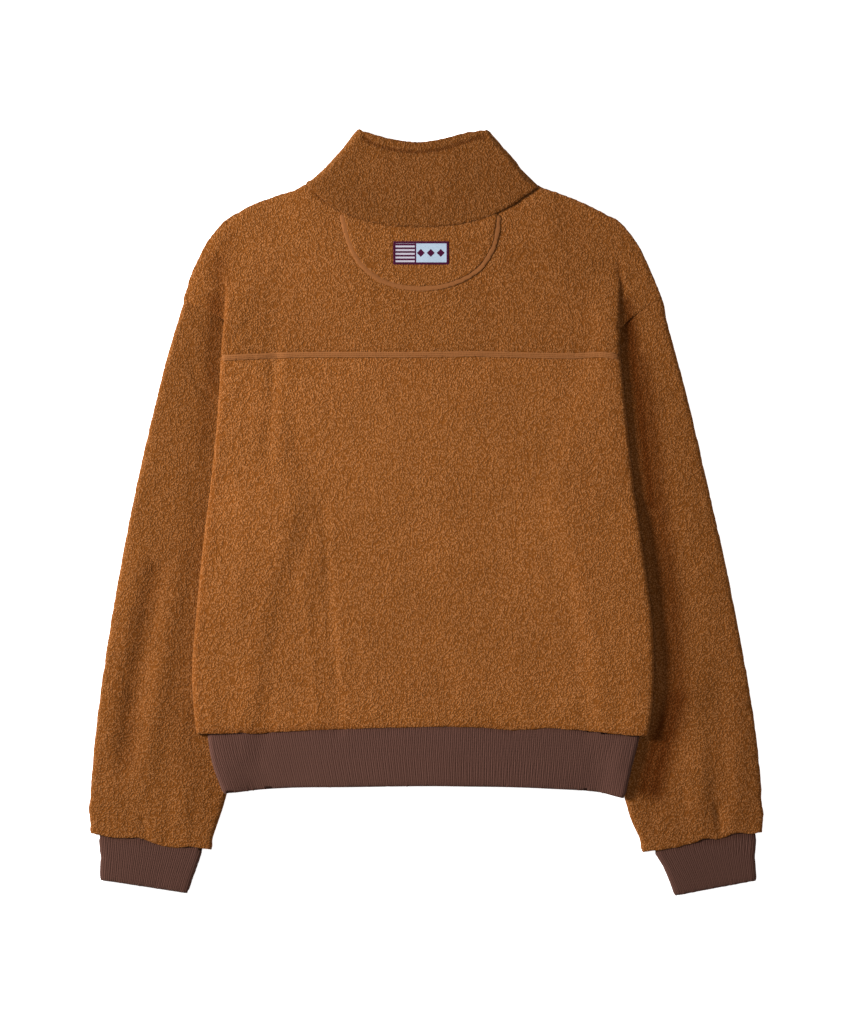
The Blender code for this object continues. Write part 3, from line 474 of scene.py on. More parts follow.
# Beside the right side of the body: a trough, then the body's painted shadow on the sleeve, and painted shade
# in the armhole seam.
RIGHT_HOLLOW_SHADE = (
    Seam([(206, 262), (208, 200)], 15.0, 2.0, 0.0),
    Seam([(209, 166), (225, 13), (234, -50), (244, -165), (238, -240), (230, -290)], 24.0, 2.0, 0.0),
    Seam([(211, 216), (213, 196), (217, 159), (224, 112), (236, 7)], 9.5, 0.0, 0.88),
    Seam([(236, 7), (251, -97), (257, -191)], 8.0, 0.0, 0.66),
    Seam([(257, -191), (249, -217), (241, -238), (234, -264), (228, -290)], 9.0, 0.0, 0.86),
    Seam([(222, 159), (231, 112), (243, 7), (258, -97), (263, -191)], 13.0, 0.0, 0.67),
    Seam([(263, -191), (257, -217), (251, -238), (244, -264), (238, -290)], 14.0, 0.0, 0.86),
    Seam([(247, 222), (222, 206), (199, 189.5)], 2.0, 0.4, 0.4),
)
print("seam lines:", sum(map(len, (BODY_SEAMS, COLLAR_SEAMS, LEFT_HOLLOW_SHADE, RIGHT_HOLLOW_SHADE))))


# %% Press the seam lines into a piece and keep the painted shade mask as an attribute
DEEPEST = 0.0024    # a wall is 3 mm thick, and its inner face has to stay inside


def keep_values(piece, name, values):
    """Keep a number for each point of a piece as an attribute."""
    attribute = piece.data.attributes.new(name, "FLOAT", "POINT")
    attribute.data.foreach_set("value", values.astype(np.float32))


def press_and_paint_shade(piece, points, seams, open_here):
    """Lower the cloth along its lines; their mask of painted shade goes to an attribute."""
    mask, drop = np.zeros(len(points)), np.zeros(len(points))
    for seam in seams:
        near = np.exp(-(line_distance(points, seam.points) / seam.width) ** 2) * open_here
        drop += near * seam.depth * MM
        mask = np.maximum(mask, near * seam.shade)
    points[:, 2] -= np.minimum(drop, DEEPEST)
    keep_values(piece, "painted_shade", mask)


# %% [markdown]
# ## Edges pulled
# A hem that hangs over a cuff isn't straight, and a sewn edge reaches under its neighbour. A tug moves
# the cloth around a short line, most at the line and less around it, as proportional editing does.

# %% Tables of tugs, in millimetres
Tug = namedtuple("Tug", "line dx dy reach")
YOKE_WELT_TUGS = (Tug(YOKE_LINE, 0.0, -1.6, 60.0),)
MOON_WELT_TUGS = (Tug([(-90, 300), (80, 300)], 0.0, -0.6, 200.0),)
HEM_LINE = [(-240, -232), (-208, -232), (-153, -228), (-80, -225), (0, -223), (50, -223), (85, -227),
            (125, -224), (180, -228), (207, -231), (235, -232)]
SIDE_TUG = Tug(RIGHT_SIDE[4:], 1.6, 0.0, 8.0)
PANEL_TUGS = (Tug(HEM_LINE, 0.0, -0.6, 4.0), Tug([(-245, -236), (-195, -234)], 0.0, 2.6, 9.0), SIDE_TUG)
HEM_TUGS = (Tug(HEM_LINE, 0.0, 2.4, 5.0), Tug([(-240, -236), (-190, -234)], 0.0, 4.0, 9.0))
BODY_TUGS = (
    Tug([(197, 235), (199, 185)], 3.4, 0.0, 10.0),
    SIDE_TUG,
    Tug([(-126, 337), (-119, 335)], 0.0, 5.0, 7.0),
    Tug(neck_line(), 0.0, 1.0, 3.0),
)
COLLAR_TUGS = (
    Tug([(-73, 394), (-66, 395)], 0.9, 4.0, 14.0),
    Tug([(-122, 341), (-119, 339)], -3.0, 2.6, 7.0),
    Tug([(-45, 388), (40, 387)], 0.0, 1.0, 6.0),
    Tug([(57, 393), (61, 393)], 0.0, 4.2, 6.0),
    Tug([(97, 360), (101, 356)], -1.0, -1.2, 7.0),
    Tug([(108, 350), (111, 347)], -1.5, -2.0, 7.0),
    Tug([(115, 341), (118, 339)], 2.0, 0.0, 5.0),
    Tug(neck_line(), 0.0, -1.0, 3.0),
)
LEFT_TUGS = (
    Tug([(-256, 219), (-211, 199)], 1.3, 3.4, 6.0),
    Tug([(-217, 203), (-211, 199)], 0.4, 1.8, 4.0),
    Tug([(-350, -312), (-346, -336)], -2.4, 0.8, 9.0),
    Tug([(-346, -337), (-344, -337)], -1.4, 1.4, 7.0),
    Tug([(-229, -349), (-227, -350)], 3.2, -1.2, 9.0),
    Tug([(-304, -340), (-299, -340)], 0.0, 3.0, 8.0),
    Tug([(-274, -345), (-262, -347)], 0.0, -3.2, 10.0),
)
RIGHT_TUGS = (
    Tug([(249, 222), (199, 188)], -1.3, 2.0, 6.0),
    Tug([(240, 217), (222, 206)], -0.4, 1.3, 5.0),
    Tug([(247, 222), (249, 214)], 1.6, 0.6, 4.0),
    Tug([(230, -350), (232, -353)], -4.0, -1.4, 9.0),
    Tug([(351, -318), (349, -335)], 2.4, 1.0, 9.0),
    Tug([(290, -344), (293, -343)], 0.0, 3.4, 7.0),
    Tug([(321, -339), (327, -338)], 0.0, 3.6, 8.0),
    Tug([(246, -352), (262, -349)], 0.0, -1.2, 6.0),
)
CUFF_TUGS = (
    Tug([(-340, -338), (-233, -352)], 0.2, 2.4, 3.0),
    Tug([(-304, -342), (-299, -342)], 0.0, 2.0, 8.0),
    Tug([(-337, -382), (-249, -396)], 0.0, -2.2, 9.0),
    Tug([(-340, -338), (-337, -386)], -3.0, 0.0, 9.0),
    Tug([(345, -336), (238, -355)], 0.2, 3.0, 3.0),
    Tug([(321, -341), (327, -340)], 0.0, 2.4, 8.0),
    Tug([(286, -343), (295, -342)], 0.0, 2.6, 6.0),
    Tug([(345, -384), (260, -399)], 0.0, -1.6, 9.0),
    Tug([(342, -345), (344, -386)], 1.4, 0.0, 9.0),
)


def tugged(points, tugs):
    """The points after the tugs."""
    moved = points.copy()
    for tug in tugs:
        near = np.exp(-(line_distance(points, tug.line) / tug.reach) ** 2)
        moved[:, 0] += near * tug.dx * MM
        moved[:, 1] += near * tug.dy * MM
    return moved


print("tugs:", len(BODY_TUGS) + len(COLLAR_TUGS) + len(LEFT_TUGS) + len(RIGHT_TUGS) + len(CUFF_TUGS))

# %% [markdown]
# ## Dressing one piece of fleece
# The steps above go together here. After the creases and the seams, the open side grows outwards by the
# depth of its pile, with clumps: little swellings of a few millimetres, along the surface's own normals.
# The single curls are smaller than the cells, so they belong to the finish.


# %% Dress a piece of fleece
def clumps(points, size, height, seed):
    """Uneven swelling of the pile, in metres."""
    values = [noise.noise(Vector(p) / size + Vector((seed, 0.0, 0.0))) for p in points]
    return np.array(values) * height


pieces = {}


def stands_for(piece, solid):
    """Hide a solid behind its piece, which moves with the jacket."""
    pieces[solid] = piece
    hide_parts(solid)
    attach(piece, "jacket")


def finish_shading(piece, angle):
    """Smooth shading with sharp edges kept at the rims."""
    select_only(piece)
    bpy.ops.object.shade_smooth_by_angle(angle=math.radians(angle))


def lay_down(piece, points, tugs, angle=60):
    """Tug the points, keep them above the table and give them back to the piece."""
    points = tugged(points, tugs)
    points[:, 2] = np.maximum(points[:, 2], 0.0)
    piece.data.vertices.foreach_set("co", points.reshape(-1))
    piece.data.update()
    finish_shading(piece, angle)
    print(piece.name, "faces:", len(piece.data.polygons))
    return piece


PILE, CLUMP_SIZE, CLUMP_HEIGHT = 0.0006, 0.0045, 0.0004
ROUNDS, RIM_ROUNDS = 30, 3
RIM_SHARE, HIDDEN_SHARE = 0.35, 0.3    # how much of the creases a rim and a hidden side follow
RIM_FADE = 0.010
FINE = 0.0020


def dress_fleece(solid, creases=(), seams=(), tugs=(), body=False):
    """A soft shell of fleece on a solid's wall."""
    piece = even_copy(solid, solid + "_fleece")
    rims = rim_tree(piece)
    cut_open_side(piece, FINE)
    open_here, away = soften(piece, rims, ROUNDS, RIM_ROUNDS)
    points = vertex_array(piece)
    ease_in = soft_step(away / RIM_FADE)
    lift = crease_lift(points, creases) + cloth_slack(points)
    points[:, 2] += lift * np.where(open_here, RIM_SHARE + (1.0 - RIM_SHARE) * ease_in, HIDDEN_SHARE)
    if body:
        points[:, 2] += ease_lift(points)
    press_and_paint_shade(piece, points, seams, open_here)
    grown = (PILE + clumps(points, CLUMP_SIZE, CLUMP_HEIGHT, 1.0)) * open_here
    points += vertex_array(piece, "normal") * grown[:, None]
    return lay_down(piece, points, tugs)


# %% [markdown]
# ## The pieces of fleece
# Two back parts, two fronts under them, two sleeves, the collar and the half-moon under it are cut from
# the same fleece. Each is dressed on its own solid and stays a piece of its own.

# %% Dress the body, the sleeves and the collar
FLEECE_STEPS = {
    "back_panel": (BODY_CREASES, PANEL_SEAMS, PANEL_TUGS, True),
    "back_yoke": (BODY_CREASES, YOKE_SEAMS, BODY_TUGS, True),
    "sleeve_left": (LEFT_CREASES, LEFT_HOLLOW_SHADE, LEFT_TUGS),
    "sleeve_right": (RIGHT_CREASES, RIGHT_HOLLOW_SHADE, RIGHT_TUGS),
    "collar": ((), COLLAR_SEAMS, COLLAR_TUGS),
    "half_moon": (BODY_CREASES, BODY_SEAMS[:1], BODY_TUGS[-1:], True),
    "front_left": (),
    "front_right": (),
}
for solid, steps in FLEECE_STEPS.items():
    stands_for(dress_fleece(solid, *steps), solid)
print("fleece faces:", sum(len(piece.data.polygons) for piece in pieces.values()))

# %% [markdown]
# ## Rib knit
# The hem band and the cuffs are rib knit, folded double. Their walls are cut finer and relaxed a little,
# and each point gets the count of the ribs up to it. The finish follows that count, so the ribs stay
# even on a band that leans and narrows. The knit is softer than fleece, so over the sleeves the hem band
# lies lower than its solid.


# %% Dress the hem band and the cuffs
SLEEVE_TOP, HEM_SHARE = 0.0076, 0.72    # above this height the hem keeps a share of its rise
RIB_PITCH = 2.1
RIB_FINE = 0.002
# Corners of the bands: top left, top right, low left and low right.
HEM_BAND = (-233, -232), (221, -231), (-213, -291), (211, -291)
LEFT_BAND = (-339, -337), (-231, -351), (-340, -382), (-248, -397)
RIGHT_BAND = (232, -355), (343, -337), (259, -399), (346, -384)


def mark_ribs(piece, points, band):
    """Count the ribs across a band; the count goes to the attribute ribs."""
    top_left, top_right, low_left, low_right = (np.array(corner) * MM for corner in band)
    down = (low_left + low_right - top_left - top_right) / 2.0
    place = points[:, :2]
    share = ((place - (top_left + top_right) / 2.0) @ down / (down @ down))[:, None]
    left = top_left + (low_left - top_left) * share
    across = top_right + (low_right - top_right) * share - left
    count = round(np.linalg.norm(top_right - top_left) / MM / RIB_PITCH)
    ribs = ((place - left) * across).sum(1) / (across * across).sum(1) * count
    keep_values(piece, "ribs", ribs)


def dress_rib(solid, creases, tugs, seams, band):
    """A soft copy of a ribbed wall."""
    piece = even_copy(solid, solid + "_rib")
    cut_open_side(piece, RIB_FINE, axes=(1,))
    open_here = open_points(piece)
    relax(piece, open_here, 8)
    points = vertex_array(piece)
    mark_ribs(piece, points, band)
    lift = crease_lift(points, creases) + broad_slack(points)
    points[:, 2] += lift * np.where(open_here, 1.0, HIDDEN_SHARE)
    if creases:
        points[:, 2] += ease_lift(points)
        points[:, 2] -= np.maximum(points[:, 2] - SLEEVE_TOP, 0.0) * (1.0 - HEM_SHARE)
    press_and_paint_shade(piece, points, seams, open_here)
    return lay_down(piece, points, tugs, 75)


# Painted shade on the rib where the edge of the fleece lies over it.
HEM_SEAMS = (Seam(HEM_LINE, 4.0, 0.5, 0.50),)
CUFF_SEAMS = (Seam([(-346, -337), (-229, -351)], 4.0, 0.3, 0.45),
              Seam([(349, -336), (232, -354)], 4.0, 0.3, 0.45))
RIB_STEPS = {
    "hem_band": (BODY_CREASES, HEM_TUGS, HEM_SEAMS, HEM_BAND),
    "cuff_left": ((), CUFF_TUGS, CUFF_SEAMS, LEFT_BAND),
    "cuff_right": ((), CUFF_TUGS, CUFF_SEAMS, RIGHT_BAND),
}
for solid, steps in RIB_STEPS.items():
    stands_for(dress_rib(solid, *steps), solid)

# %% [markdown]
# ## Welts
# A narrow flat tape covers the yoke seam and the edge of the half-moon. It is smooth, not piled, so it
# shows as a thin light line. Its solid is cut finely, widened a little so that the pile doesn't swallow
# it, and follows the same creases as the cloth below. The label is dressed in the same way.


# %% Dress the welts and the label
STRIP_FINE = 0.0015


def dress_strip(solid, name, rounds, wider=0.0, tugs=()):
    """A soft copy of a narrow strip."""
    piece = even_copy(solid, name)
    cut_open_side(piece, STRIP_FINE)
    relax(piece, open_points(piece), rounds)
    points = vertex_array(piece)
    points[:, :2] += vertex_array(piece, "normal")[:, :2] * wider
    points[:, 2] += crease_lift(points, BODY_CREASES) + ease_lift(points) + cloth_slack(points)
    return lay_down(piece, points, tugs)


for solid, name, slot, *steps in (
        ("yoke_welt", "yoke_welt_tape", "seam_tape", 3, 0.0014, YOKE_WELT_TUGS),
        ("half_moon_welt", "half_moon_welt_tape", "seam_tape", 2, 0.0018, MOON_WELT_TUGS),
        ("label", "woven_label", "woven_label", 1)):
    stands_for(dress_strip(solid, name, *steps), solid)

# %% [markdown]
# ## Zip
# The zip runs down the middle of the front, which lies on the table. Its tapes are narrow woven bands.
# A tooth is one small moulded block, modelled once and copied up both sides, half a pitch apart.

# %% Tapes of the zip
for solid in ("zip_tape_left", "zip_tape_right"):
    piece = even_copy(solid, solid + "_weave")
    finish_shading(piece, 40)
    stands_for(piece, solid)
    print(piece.name, "faces:", len(piece.data.polygons))

# %% One tooth, and a row of its copies
TOOTH_PITCH = 0.0028
TOOTH_SIZE = (0.0034, 0.0013, 0.0012)
TOOTH_BEVEL = 0.0003
TOOTH_ASIDE = 0.0011
CHAIN_END = 0.001
STITCH_BEVEL = 0.35    # share of a stitch's width


def small_block(size, bevel):
    """One small block with bevelled edges, modelled once and then copied."""
    bpy.ops.mesh.primitive_cube_add(size=1.0)
    block = bpy.context.object
    block.scale = size
    bpy.ops.object.transform_apply(location=False, rotation=False, scale=True)
    bpy.ops.object.mode_set(mode="EDIT")
    bpy.ops.mesh.select_all(action="SELECT")
    bpy.ops.mesh.bevel(offset=bevel, segments=1, affect="EDGES")
    bpy.ops.object.mode_set(mode="OBJECT")
    return block


def copies_of(source, places, name):
    """One mesh of many copies; a place is an offset and a turn about Z."""
    shape = vertex_array(source)
    faces = [tuple(face.vertices) for face in source.data.polygons]
    points, all_faces = [], []
    for (x, y, z), turn in places:
        first = len(points)
        c, s = math.cos(turn), math.sin(turn)
        for p in shape:
            points.append((x + p[0] * c - p[1] * s, y + p[0] * s + p[1] * c, z + p[2]))
        all_faces += [tuple(first + i for i in face) for face in faces]
    mesh = bpy.data.meshes.new(name)
    mesh.from_pydata(points, [], all_faces)
    return add_object(name, mesh)


chain_low, chain_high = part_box("zip_chain")
tooth = small_block(TOOTH_SIZE, TOOTH_BEVEL)
places = []
rows = int((chain_high.y - chain_low.y - 2 * CHAIN_END) / TOOTH_PITCH)
middle_z = (chain_low.z + chain_high.z) / 2
for k in range(rows):
    y = chain_low.y + CHAIN_END + k * TOOTH_PITCH
    places.append(((-TOOTH_ASIDE, y, middle_z), 0.0))
    places.append(((TOOTH_ASIDE, y + TOOTH_PITCH / 2, middle_z), math.pi))
zip_teeth = copies_of(tooth, places, "zip_teeth_chain")
bpy.data.objects.remove(tooth)
finish_shading(zip_teeth, 30)
stands_for(zip_teeth, "zip_chain")
print("teeth:", len(places))

# %% [markdown]
# ## Stitches
# The thread is close to the fleece in colour. One stitch is a short thread with round ends, and its
# copies follow the seam lines, each laid on the cloth below it and sunk into it a little.


# %% Stitches along a line
def walk(line, pitch):
    """Places and directions along a line of straight stretches, a pitch apart, in millimetres."""
    found, rest = [], pitch / 2
    for (x0, y0), (x1, y1) in zip(line, line[1:]):
        length = math.hypot(x1 - x0, y1 - y0)
        while rest < length:
            t = rest / length
            found.append((x0 + (x1 - x0) * t, y0 + (y1 - y0) * t, math.atan2(y1 - y0, x1 - x0)))
            rest += pitch
        rest -= length
    return found


def sew(name, lines, below, pitch, length, width, sink):
    """Stitches along lines, laid on the piece of the solid below."""
    tree = tree_over([pieces[below]])
    places = []
    for line in lines:
        for x, y, turn in walk(line, pitch):
            hit = tree.ray_cast(Vector((x * MM, y * MM, 0.05)), -UP)[0]
            if hit is not None:
                places.append(((hit.x, hit.y, hit.z + (width / 2 - sink) * MM), turn))
    stitch = small_block((length * MM, width * MM, width * MM), width * MM * STITCH_BEVEL)
    piece = copies_of(stitch, places, name)
    bpy.data.objects.remove(stitch)
    finish_shading(piece, 40)
    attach(piece, "jacket")
    print(name, "stitches:", len(places))
    return piece


collar_thread = sew("collar_topstitch", [COLLAR_STITCHES], "collar", 3.2, 2.5, 0.5, 0.1)
welt_thread = sew("yoke_welt_stitches", [shifted(YOKE_LINE, 0.9), shifted(YOKE_LINE, -0.9)],
                  "yoke_welt", 2.8, 2.1, 0.35, 0.08)
LABEL_LINE = [(-33.0, 259.6), (22.6, 259.6), (22.6, 281.4), (-33.0, 281.4), (-33.0, 259.6)]
label_thread = sew("label_stitches", [LABEL_LINE], "label", 2.0, 1.4, 0.3, 0.06)

# %% [markdown]
# ## Finishes
# A finish is more than a colour. Fleece is a mass of small curls, painted light on their crowns and dark
# between, which is painted shade of the pile. A node group makes the curls once, as a mask and a height, and
# every fleece piece uses it.


# %% Small helpers for node trees
def link(tree, value, socket):
    """Join an output to an input, or set the input to a plain value."""
    if isinstance(value, (int, float, tuple)):
        socket.default_value = value
    else:
        tree.links.new(value, socket)


def node(tree, kind, **settings):
    """Add a node and set its plain properties."""
    made = tree.nodes.new(kind)
    for key, value in settings.items():
        setattr(made, key, value)
    return made


def math_node(tree, operation, *values):
    """A math node on outputs or numbers."""
    made = node(tree, "ShaderNodeMath", operation=operation)
    for k, value in enumerate(values):
        link(tree, value, made.inputs[k])
    return made.outputs[0]


def times(tree, a, b):
    """The product of two outputs or numbers."""
    return math_node(tree, "MULTIPLY", a, b)


def noise_node(tree, place, scale, detail=2.0):
    """A noise texture on a place."""
    made = node(tree, "ShaderNodeTexNoise", noise_dimensions="3D")
    for socket, value in (("Scale", scale), ("Detail", detail), ("Vector", place)):
        link(tree, value, made.inputs[socket])
    return made.outputs


def mapped(tree, place, setting, value):
    """A place moved, turned or stretched."""
    made = node(tree, "ShaderNodeMapping")
    made.inputs[setting].default_value = value
    link(tree, place, made.inputs["Vector"])
    return made.outputs[0]


def split(tree, place):
    """The parts of a place along X, Y and Z."""
    made = node(tree, "ShaderNodeSeparateXYZ")
    link(tree, place, made.inputs[0])
    return made.outputs


def mix_colours(tree, factor, a, b, blend="MIX"):
    """Two colours mixed by a factor, each an output or a number."""
    made = node(tree, "ShaderNodeMix", data_type="RGBA", blend_type=blend)
    for k, value in ((0, factor), (6, a), (7, b)):
        link(tree, value, made.inputs[k])
    return made.outputs[2]


def add_relief(tree, shader, height, strength, distance):
    """Small relief from a height."""
    made = node(tree, "ShaderNodeBump")
    for socket, value in (("Strength", strength), ("Distance", distance), ("Height", height)):
        link(tree, value, made.inputs[socket])
    link(tree, made.outputs[0], shader.inputs["Normal"])


def ramp(tree, factor, stops):
    """A colour ramp from a factor."""
    made = node(tree, "ShaderNodeValToRGB")
    band = made.color_ramp
    while len(band.elements) < len(stops):
        band.elements.new(0.5)
    for element, (place, colour) in zip(band.elements, stops):
        element.position = place
        element.color = (*colour, 1.0)
    link(tree, factor, made.inputs[0])
    return made.outputs[0]


def shade(colour, share):
    """A share of a colour."""
    return tuple(c * share for c in colour)


# %% [markdown]
# The loops of the pile stand side by side as small uneven knots, with dark gaps where they meet. Voronoi
# cells make the knots: the distance from a cell's middle is the shade and the height. A slow noise bends
# the cells out of round, a fine one frays them, and a large one makes clumps.

# %% The group that makes curls
curls = bpy.data.node_groups.new("curly pile", "ShaderNodeTree")
for socket, way, kind in (("Place", "INPUT", "Vector"), ("Curls per metre", "INPUT", "Float"),
                          ("Crown", "OUTPUT", "Float"), ("Height", "OUTPUT", "Float")):
    curls.interface.new_socket(socket, in_out=way, socket_type="NodeSocket" + kind)
curls.interface.items_tree["Curls per metre"].default_value = 560.0
curls_in, curls_out = curls.nodes.new("NodeGroupInput"), curls.nodes.new("NodeGroupOutput")
here = curls_in.outputs["Place"]
bent = node(curls, "ShaderNodeVectorMath", operation="MULTIPLY_ADD")
bent.inputs[1].default_value = (0.0036, 0.0036, 0.0036)
link(curls, noise_node(curls, here, 320.0)["Color"], bent.inputs[0])
link(curls, here, bent.inputs[2])
knots = node(curls, "ShaderNodeTexVoronoi", voronoi_dimensions="3D", feature="SMOOTH_F1")
knots.inputs["Smoothness"].default_value = 0.25
link(curls, bent.outputs[0], knots.inputs["Vector"])
link(curls, curls_in.outputs["Curls per metre"], knots.inputs["Scale"])
fray = times(curls, noise_node(curls, here, 1300.0, 1.0)["Fac"], 0.30)
frayed = math_node(curls, "ADD", knots.outputs["Distance"], fray)
crown = node(curls, "ShaderNodeMapRange", interpolation_type="LINEAR")
crown.inputs["From Min"].default_value = 0.86
crown.inputs["From Max"].default_value = 0.32
link(curls, frayed, crown.inputs["Value"])
swell = times(curls, noise_node(curls, here, 75.0, 1.0)["Fac"], 0.35)
link(curls, crown.outputs[0], curls_out.inputs["Crown"])
link(curls, math_node(curls, "ADD", crown.outputs[0], swell), curls_out.inputs["Height"])
print("groups:", [group.name for group in bpy.data.node_groups])


# %% The fleece finish
def plain_finish(name, roughness, sheen=0.0, tint=(1.0, 1.0, 1.0)):
    """A material without gloss, its tree, its shader and the place on the object."""
    made = bpy.data.materials.new(name)
    made.use_nodes = True
    tree = made.node_tree
    shader = tree.nodes["Principled BSDF"]
    for socket, value in (("Roughness", roughness), ("Specular IOR Level", 0.0), ("Sheen Weight", sheen),
                          ("Sheen Roughness", 0.5), ("Sheen Tint", (*tint, 1.0))):
        shader.inputs[socket].default_value = value
    return made, tree, shader, node(tree, "ShaderNodeTexCoord").outputs["Object"]


# The colour that the painted shade multiplies in: a warm painted shadow.
PAINTED_SHADE_TINT = (0.30, 0.18, 0.07, 1.0)


def add_painted_shade(tree, shades):
    """Shades darkened by the mask of painted shade."""
    painted_shade = node(tree, "ShaderNodeAttribute", attribute_name="painted_shade")
    return mix_colours(tree, painted_shade.outputs["Fac"], shades, PAINTED_SHADE_TINT, "MULTIPLY")


def fleece_finish(name, deep, middle, light):
    """Curly pile between three shades."""
    made, tree, shader, place = plain_finish(name, 0.95, 0.08, (1.0, 0.55, 0.25))
    pile = node(tree, "ShaderNodeGroup", node_tree=curls)
    link(tree, place, pile.inputs["Place"])
    # Dark between the curls and light on their crowns: painted shade of the pile.
    shades = ramp(tree, pile.outputs["Crown"], [(0.15, deep), (0.5, middle), (0.85, light)])
    uneven = node(tree, "ShaderNodeHueSaturation")
    value = math_node(tree, "MULTIPLY_ADD", noise_node(tree, place, 14.0)["Fac"], 0.24, 0.88)
    link(tree, value, uneven.inputs["Value"])
    link(tree, add_painted_shade(tree, shades), uneven.inputs["Color"])
    link(tree, uneven.outputs[0], shader.inputs["Base Color"])
    add_relief(tree, shader, pile.outputs["Height"], 0.8, 0.0009)
    return made


CARAMEL = (0.111, 0.034, 0.0058), (0.159, 0.056, 0.0141), (0.223, 0.0875, 0.0290)
# Painted light and shade: each piece scales the caramel shades by its own share.
PAINTED_SHADE_SHARES = {"back_panel": 1.03, "back_yoke": 0.92, "half_moon": 0.93, "collar": 0.73, "sleeve_left": 0.75,
              "sleeve_right": 0.92}
for solid in FLEECE_STEPS:
    share = PAINTED_SHADE_SHARES.get(solid, 1.0)
    finish = fleece_finish("caramel_" + solid, *(shade(colour, share) for colour in CARAMEL))
    pieces[solid].data.materials.append(finish)
print("fleece pieces with a finish:", len(FLEECE_STEPS))

# %% [markdown]
# Rib knit shows columns of small V stitches on each rib. The count of the ribs says how far across a rib
# a point lies. Slanting waves that turn back at the middle of a rib make the V, and a fine noise breaks
# the yarn up.


# %% The rib finish
def rib_finish(name, turn, deep, light):
    """Knit stitches on ribs that are turned in the plane."""
    made, tree, shader, place = plain_finish(name, 0.9, 0.06, (0.9, 0.65, 0.5))
    along = split(tree, mapped(tree, place, "Rotation", (0.0, 0.0, math.radians(turn))))[1]
    ribs = node(tree, "ShaderNodeAttribute", attribute_name="ribs")
    across = math_node(tree, "PINGPONG", ribs.outputs["Fac"], 0.5)
    rounded = math_node(tree, "POWER", times(tree, across, 2.0), 0.6)
    slanted = math_node(tree, "MULTIPLY_ADD", along, 620.0, times(tree, across, 1.4))
    stitches = times(tree, math_node(tree, "PINGPONG", slanted, 0.5), 0.5)
    grain = times(tree, noise_node(tree, place, 900.0, 3.0)["Fac"], 0.4)
    yarn = math_node(tree, "ADD", stitches, grain)
    height = math_node(tree, "ADD", yarn, times(tree, rounded, 0.6))
    # Low places of the knit are darker: painted shade in the grooves.
    shades = ramp(tree, times(tree, height, 0.9), [(0.15, deep), (0.85, light)])
    link(tree, add_painted_shade(tree, shades), shader.inputs["Base Color"])
    add_relief(tree, shader, height, 0.9, 0.0006)
    return made


BROWN = (0.0240, 0.0105, 0.0074), (0.0760, 0.0350, 0.0260)
# Painted shade: each band scales the brown shades by its own share, the left cuff most.
RIBS = (("hem_band", "brown_rib_hem", 0.0, 0.93), ("cuff_left", "brown_rib_left", -8.0, 0.74),
        ("cuff_right", "brown_rib_right", 9.0, 0.90))
for solid, finish_name, turn, share in RIBS:
    finish = rib_finish(finish_name, turn, *(shade(colour, share) for colour in BROWN))
    pieces[solid].data.materials.append(finish)
print("rib pieces with a finish:", len(RIBS))

# %% [markdown]
# Smaller finishes: the smooth tape of the welts, the woven label, the zip's tape and teeth, and the
# thread. Weaves are two crossed waves at the real count of threads.


# %% Finishes of the small pieces
def wave(tree, value, count):
    """An even wave along a value, so many to its unit."""
    return math_node(tree, "PINGPONG", times(tree, value, count), 0.5)


def woven_finish(name, colour, threads, roughness, spread=0.12):
    """A plain weave of fine threads in one shade."""
    made, tree, shader, place = plain_finish(name, roughness)
    parts = split(tree, place)
    height = math_node(tree, "MAXIMUM", wave(tree, parts[0], threads), wave(tree, parts[1], threads))
    mixed = times(tree, height, noise_node(tree, place, 500.0)["Fac"])
    shades = ramp(tree, mixed, [(0.0, shade(colour, 1.0 - spread * 2)), (0.4, shade(colour, 1.0 + spread))])
    link(tree, shades, shader.inputs["Base Color"])
    add_relief(tree, shader, height, 0.4, 0.0002)
    return made


zip_cloth = woven_finish("brown_zip_tape", (0.035, 0.015, 0.010), 1500.0, 0.85)
brown_thread = woven_finish("brown_thread", (0.11, 0.036, 0.009), 2500.0, 0.7)
small_finishes = (
    (pieces["yoke_welt"], woven_finish("tan_yoke_tape", (0.176, 0.067, 0.022), 1400.0, 0.85)),
    (pieces["half_moon_welt"], woven_finish("tan_half_moon_tape", (0.160, 0.059, 0.019), 1400.0, 0.85)),
    (pieces["zip_tape_left"], zip_cloth),
    (pieces["zip_tape_right"], zip_cloth),
    (collar_thread, brown_thread),
    (welt_thread, brown_thread),
    (label_thread, woven_finish("maroon_thread", (0.045, 0.010, 0.022), 2500.0, 0.7)),
    (pieces["zip_chain"], woven_finish("brown_zip_teeth", (0.04, 0.018, 0.011), 300.0, 0.45, 0.05)),
)
for piece, finish in small_finishes:
    piece.data.materials.append(finish)
    print(piece.name, "has", finish.name)


# %% The metal of the slider and its tab
def metal_finish(name, colour):
    """Brushed metal with a little grime."""
    made, tree, shader, place = plain_finish(name, 0.35)
    shader.inputs["Metallic"].default_value = 1.0
    brushed = noise_node(tree, mapped(tree, place, "Scale", (2500.0, 120.0, 2500.0)), 1.0)["Fac"]
    shades = ramp(tree, brushed, [(0.3, shade(colour, 0.6)), (0.7, colour)])
    link(tree, shades, shader.inputs["Base Color"])
    link(tree, math_node(tree, "MULTIPLY_ADD", brushed, 0.3, 0.2), shader.inputs["Roughness"])
    return made


zip_metal = metal_finish("zip_metal_brushed", (0.42, 0.38, 0.33))
for solid in ("zip_slider", "zip_pull"):
    metal_part = nodes[solid].data
    metal_part.materials.clear()
    metal_part.materials.append(zip_metal)
    print(solid, "has", zip_metal.name)

# %% [markdown]
# The label is woven in three colours. Its pattern is generic: a border, a narrow block of stripes and a
# wider pale block with three diamonds. Plain sums on the place across the label decide which thread
# shows.

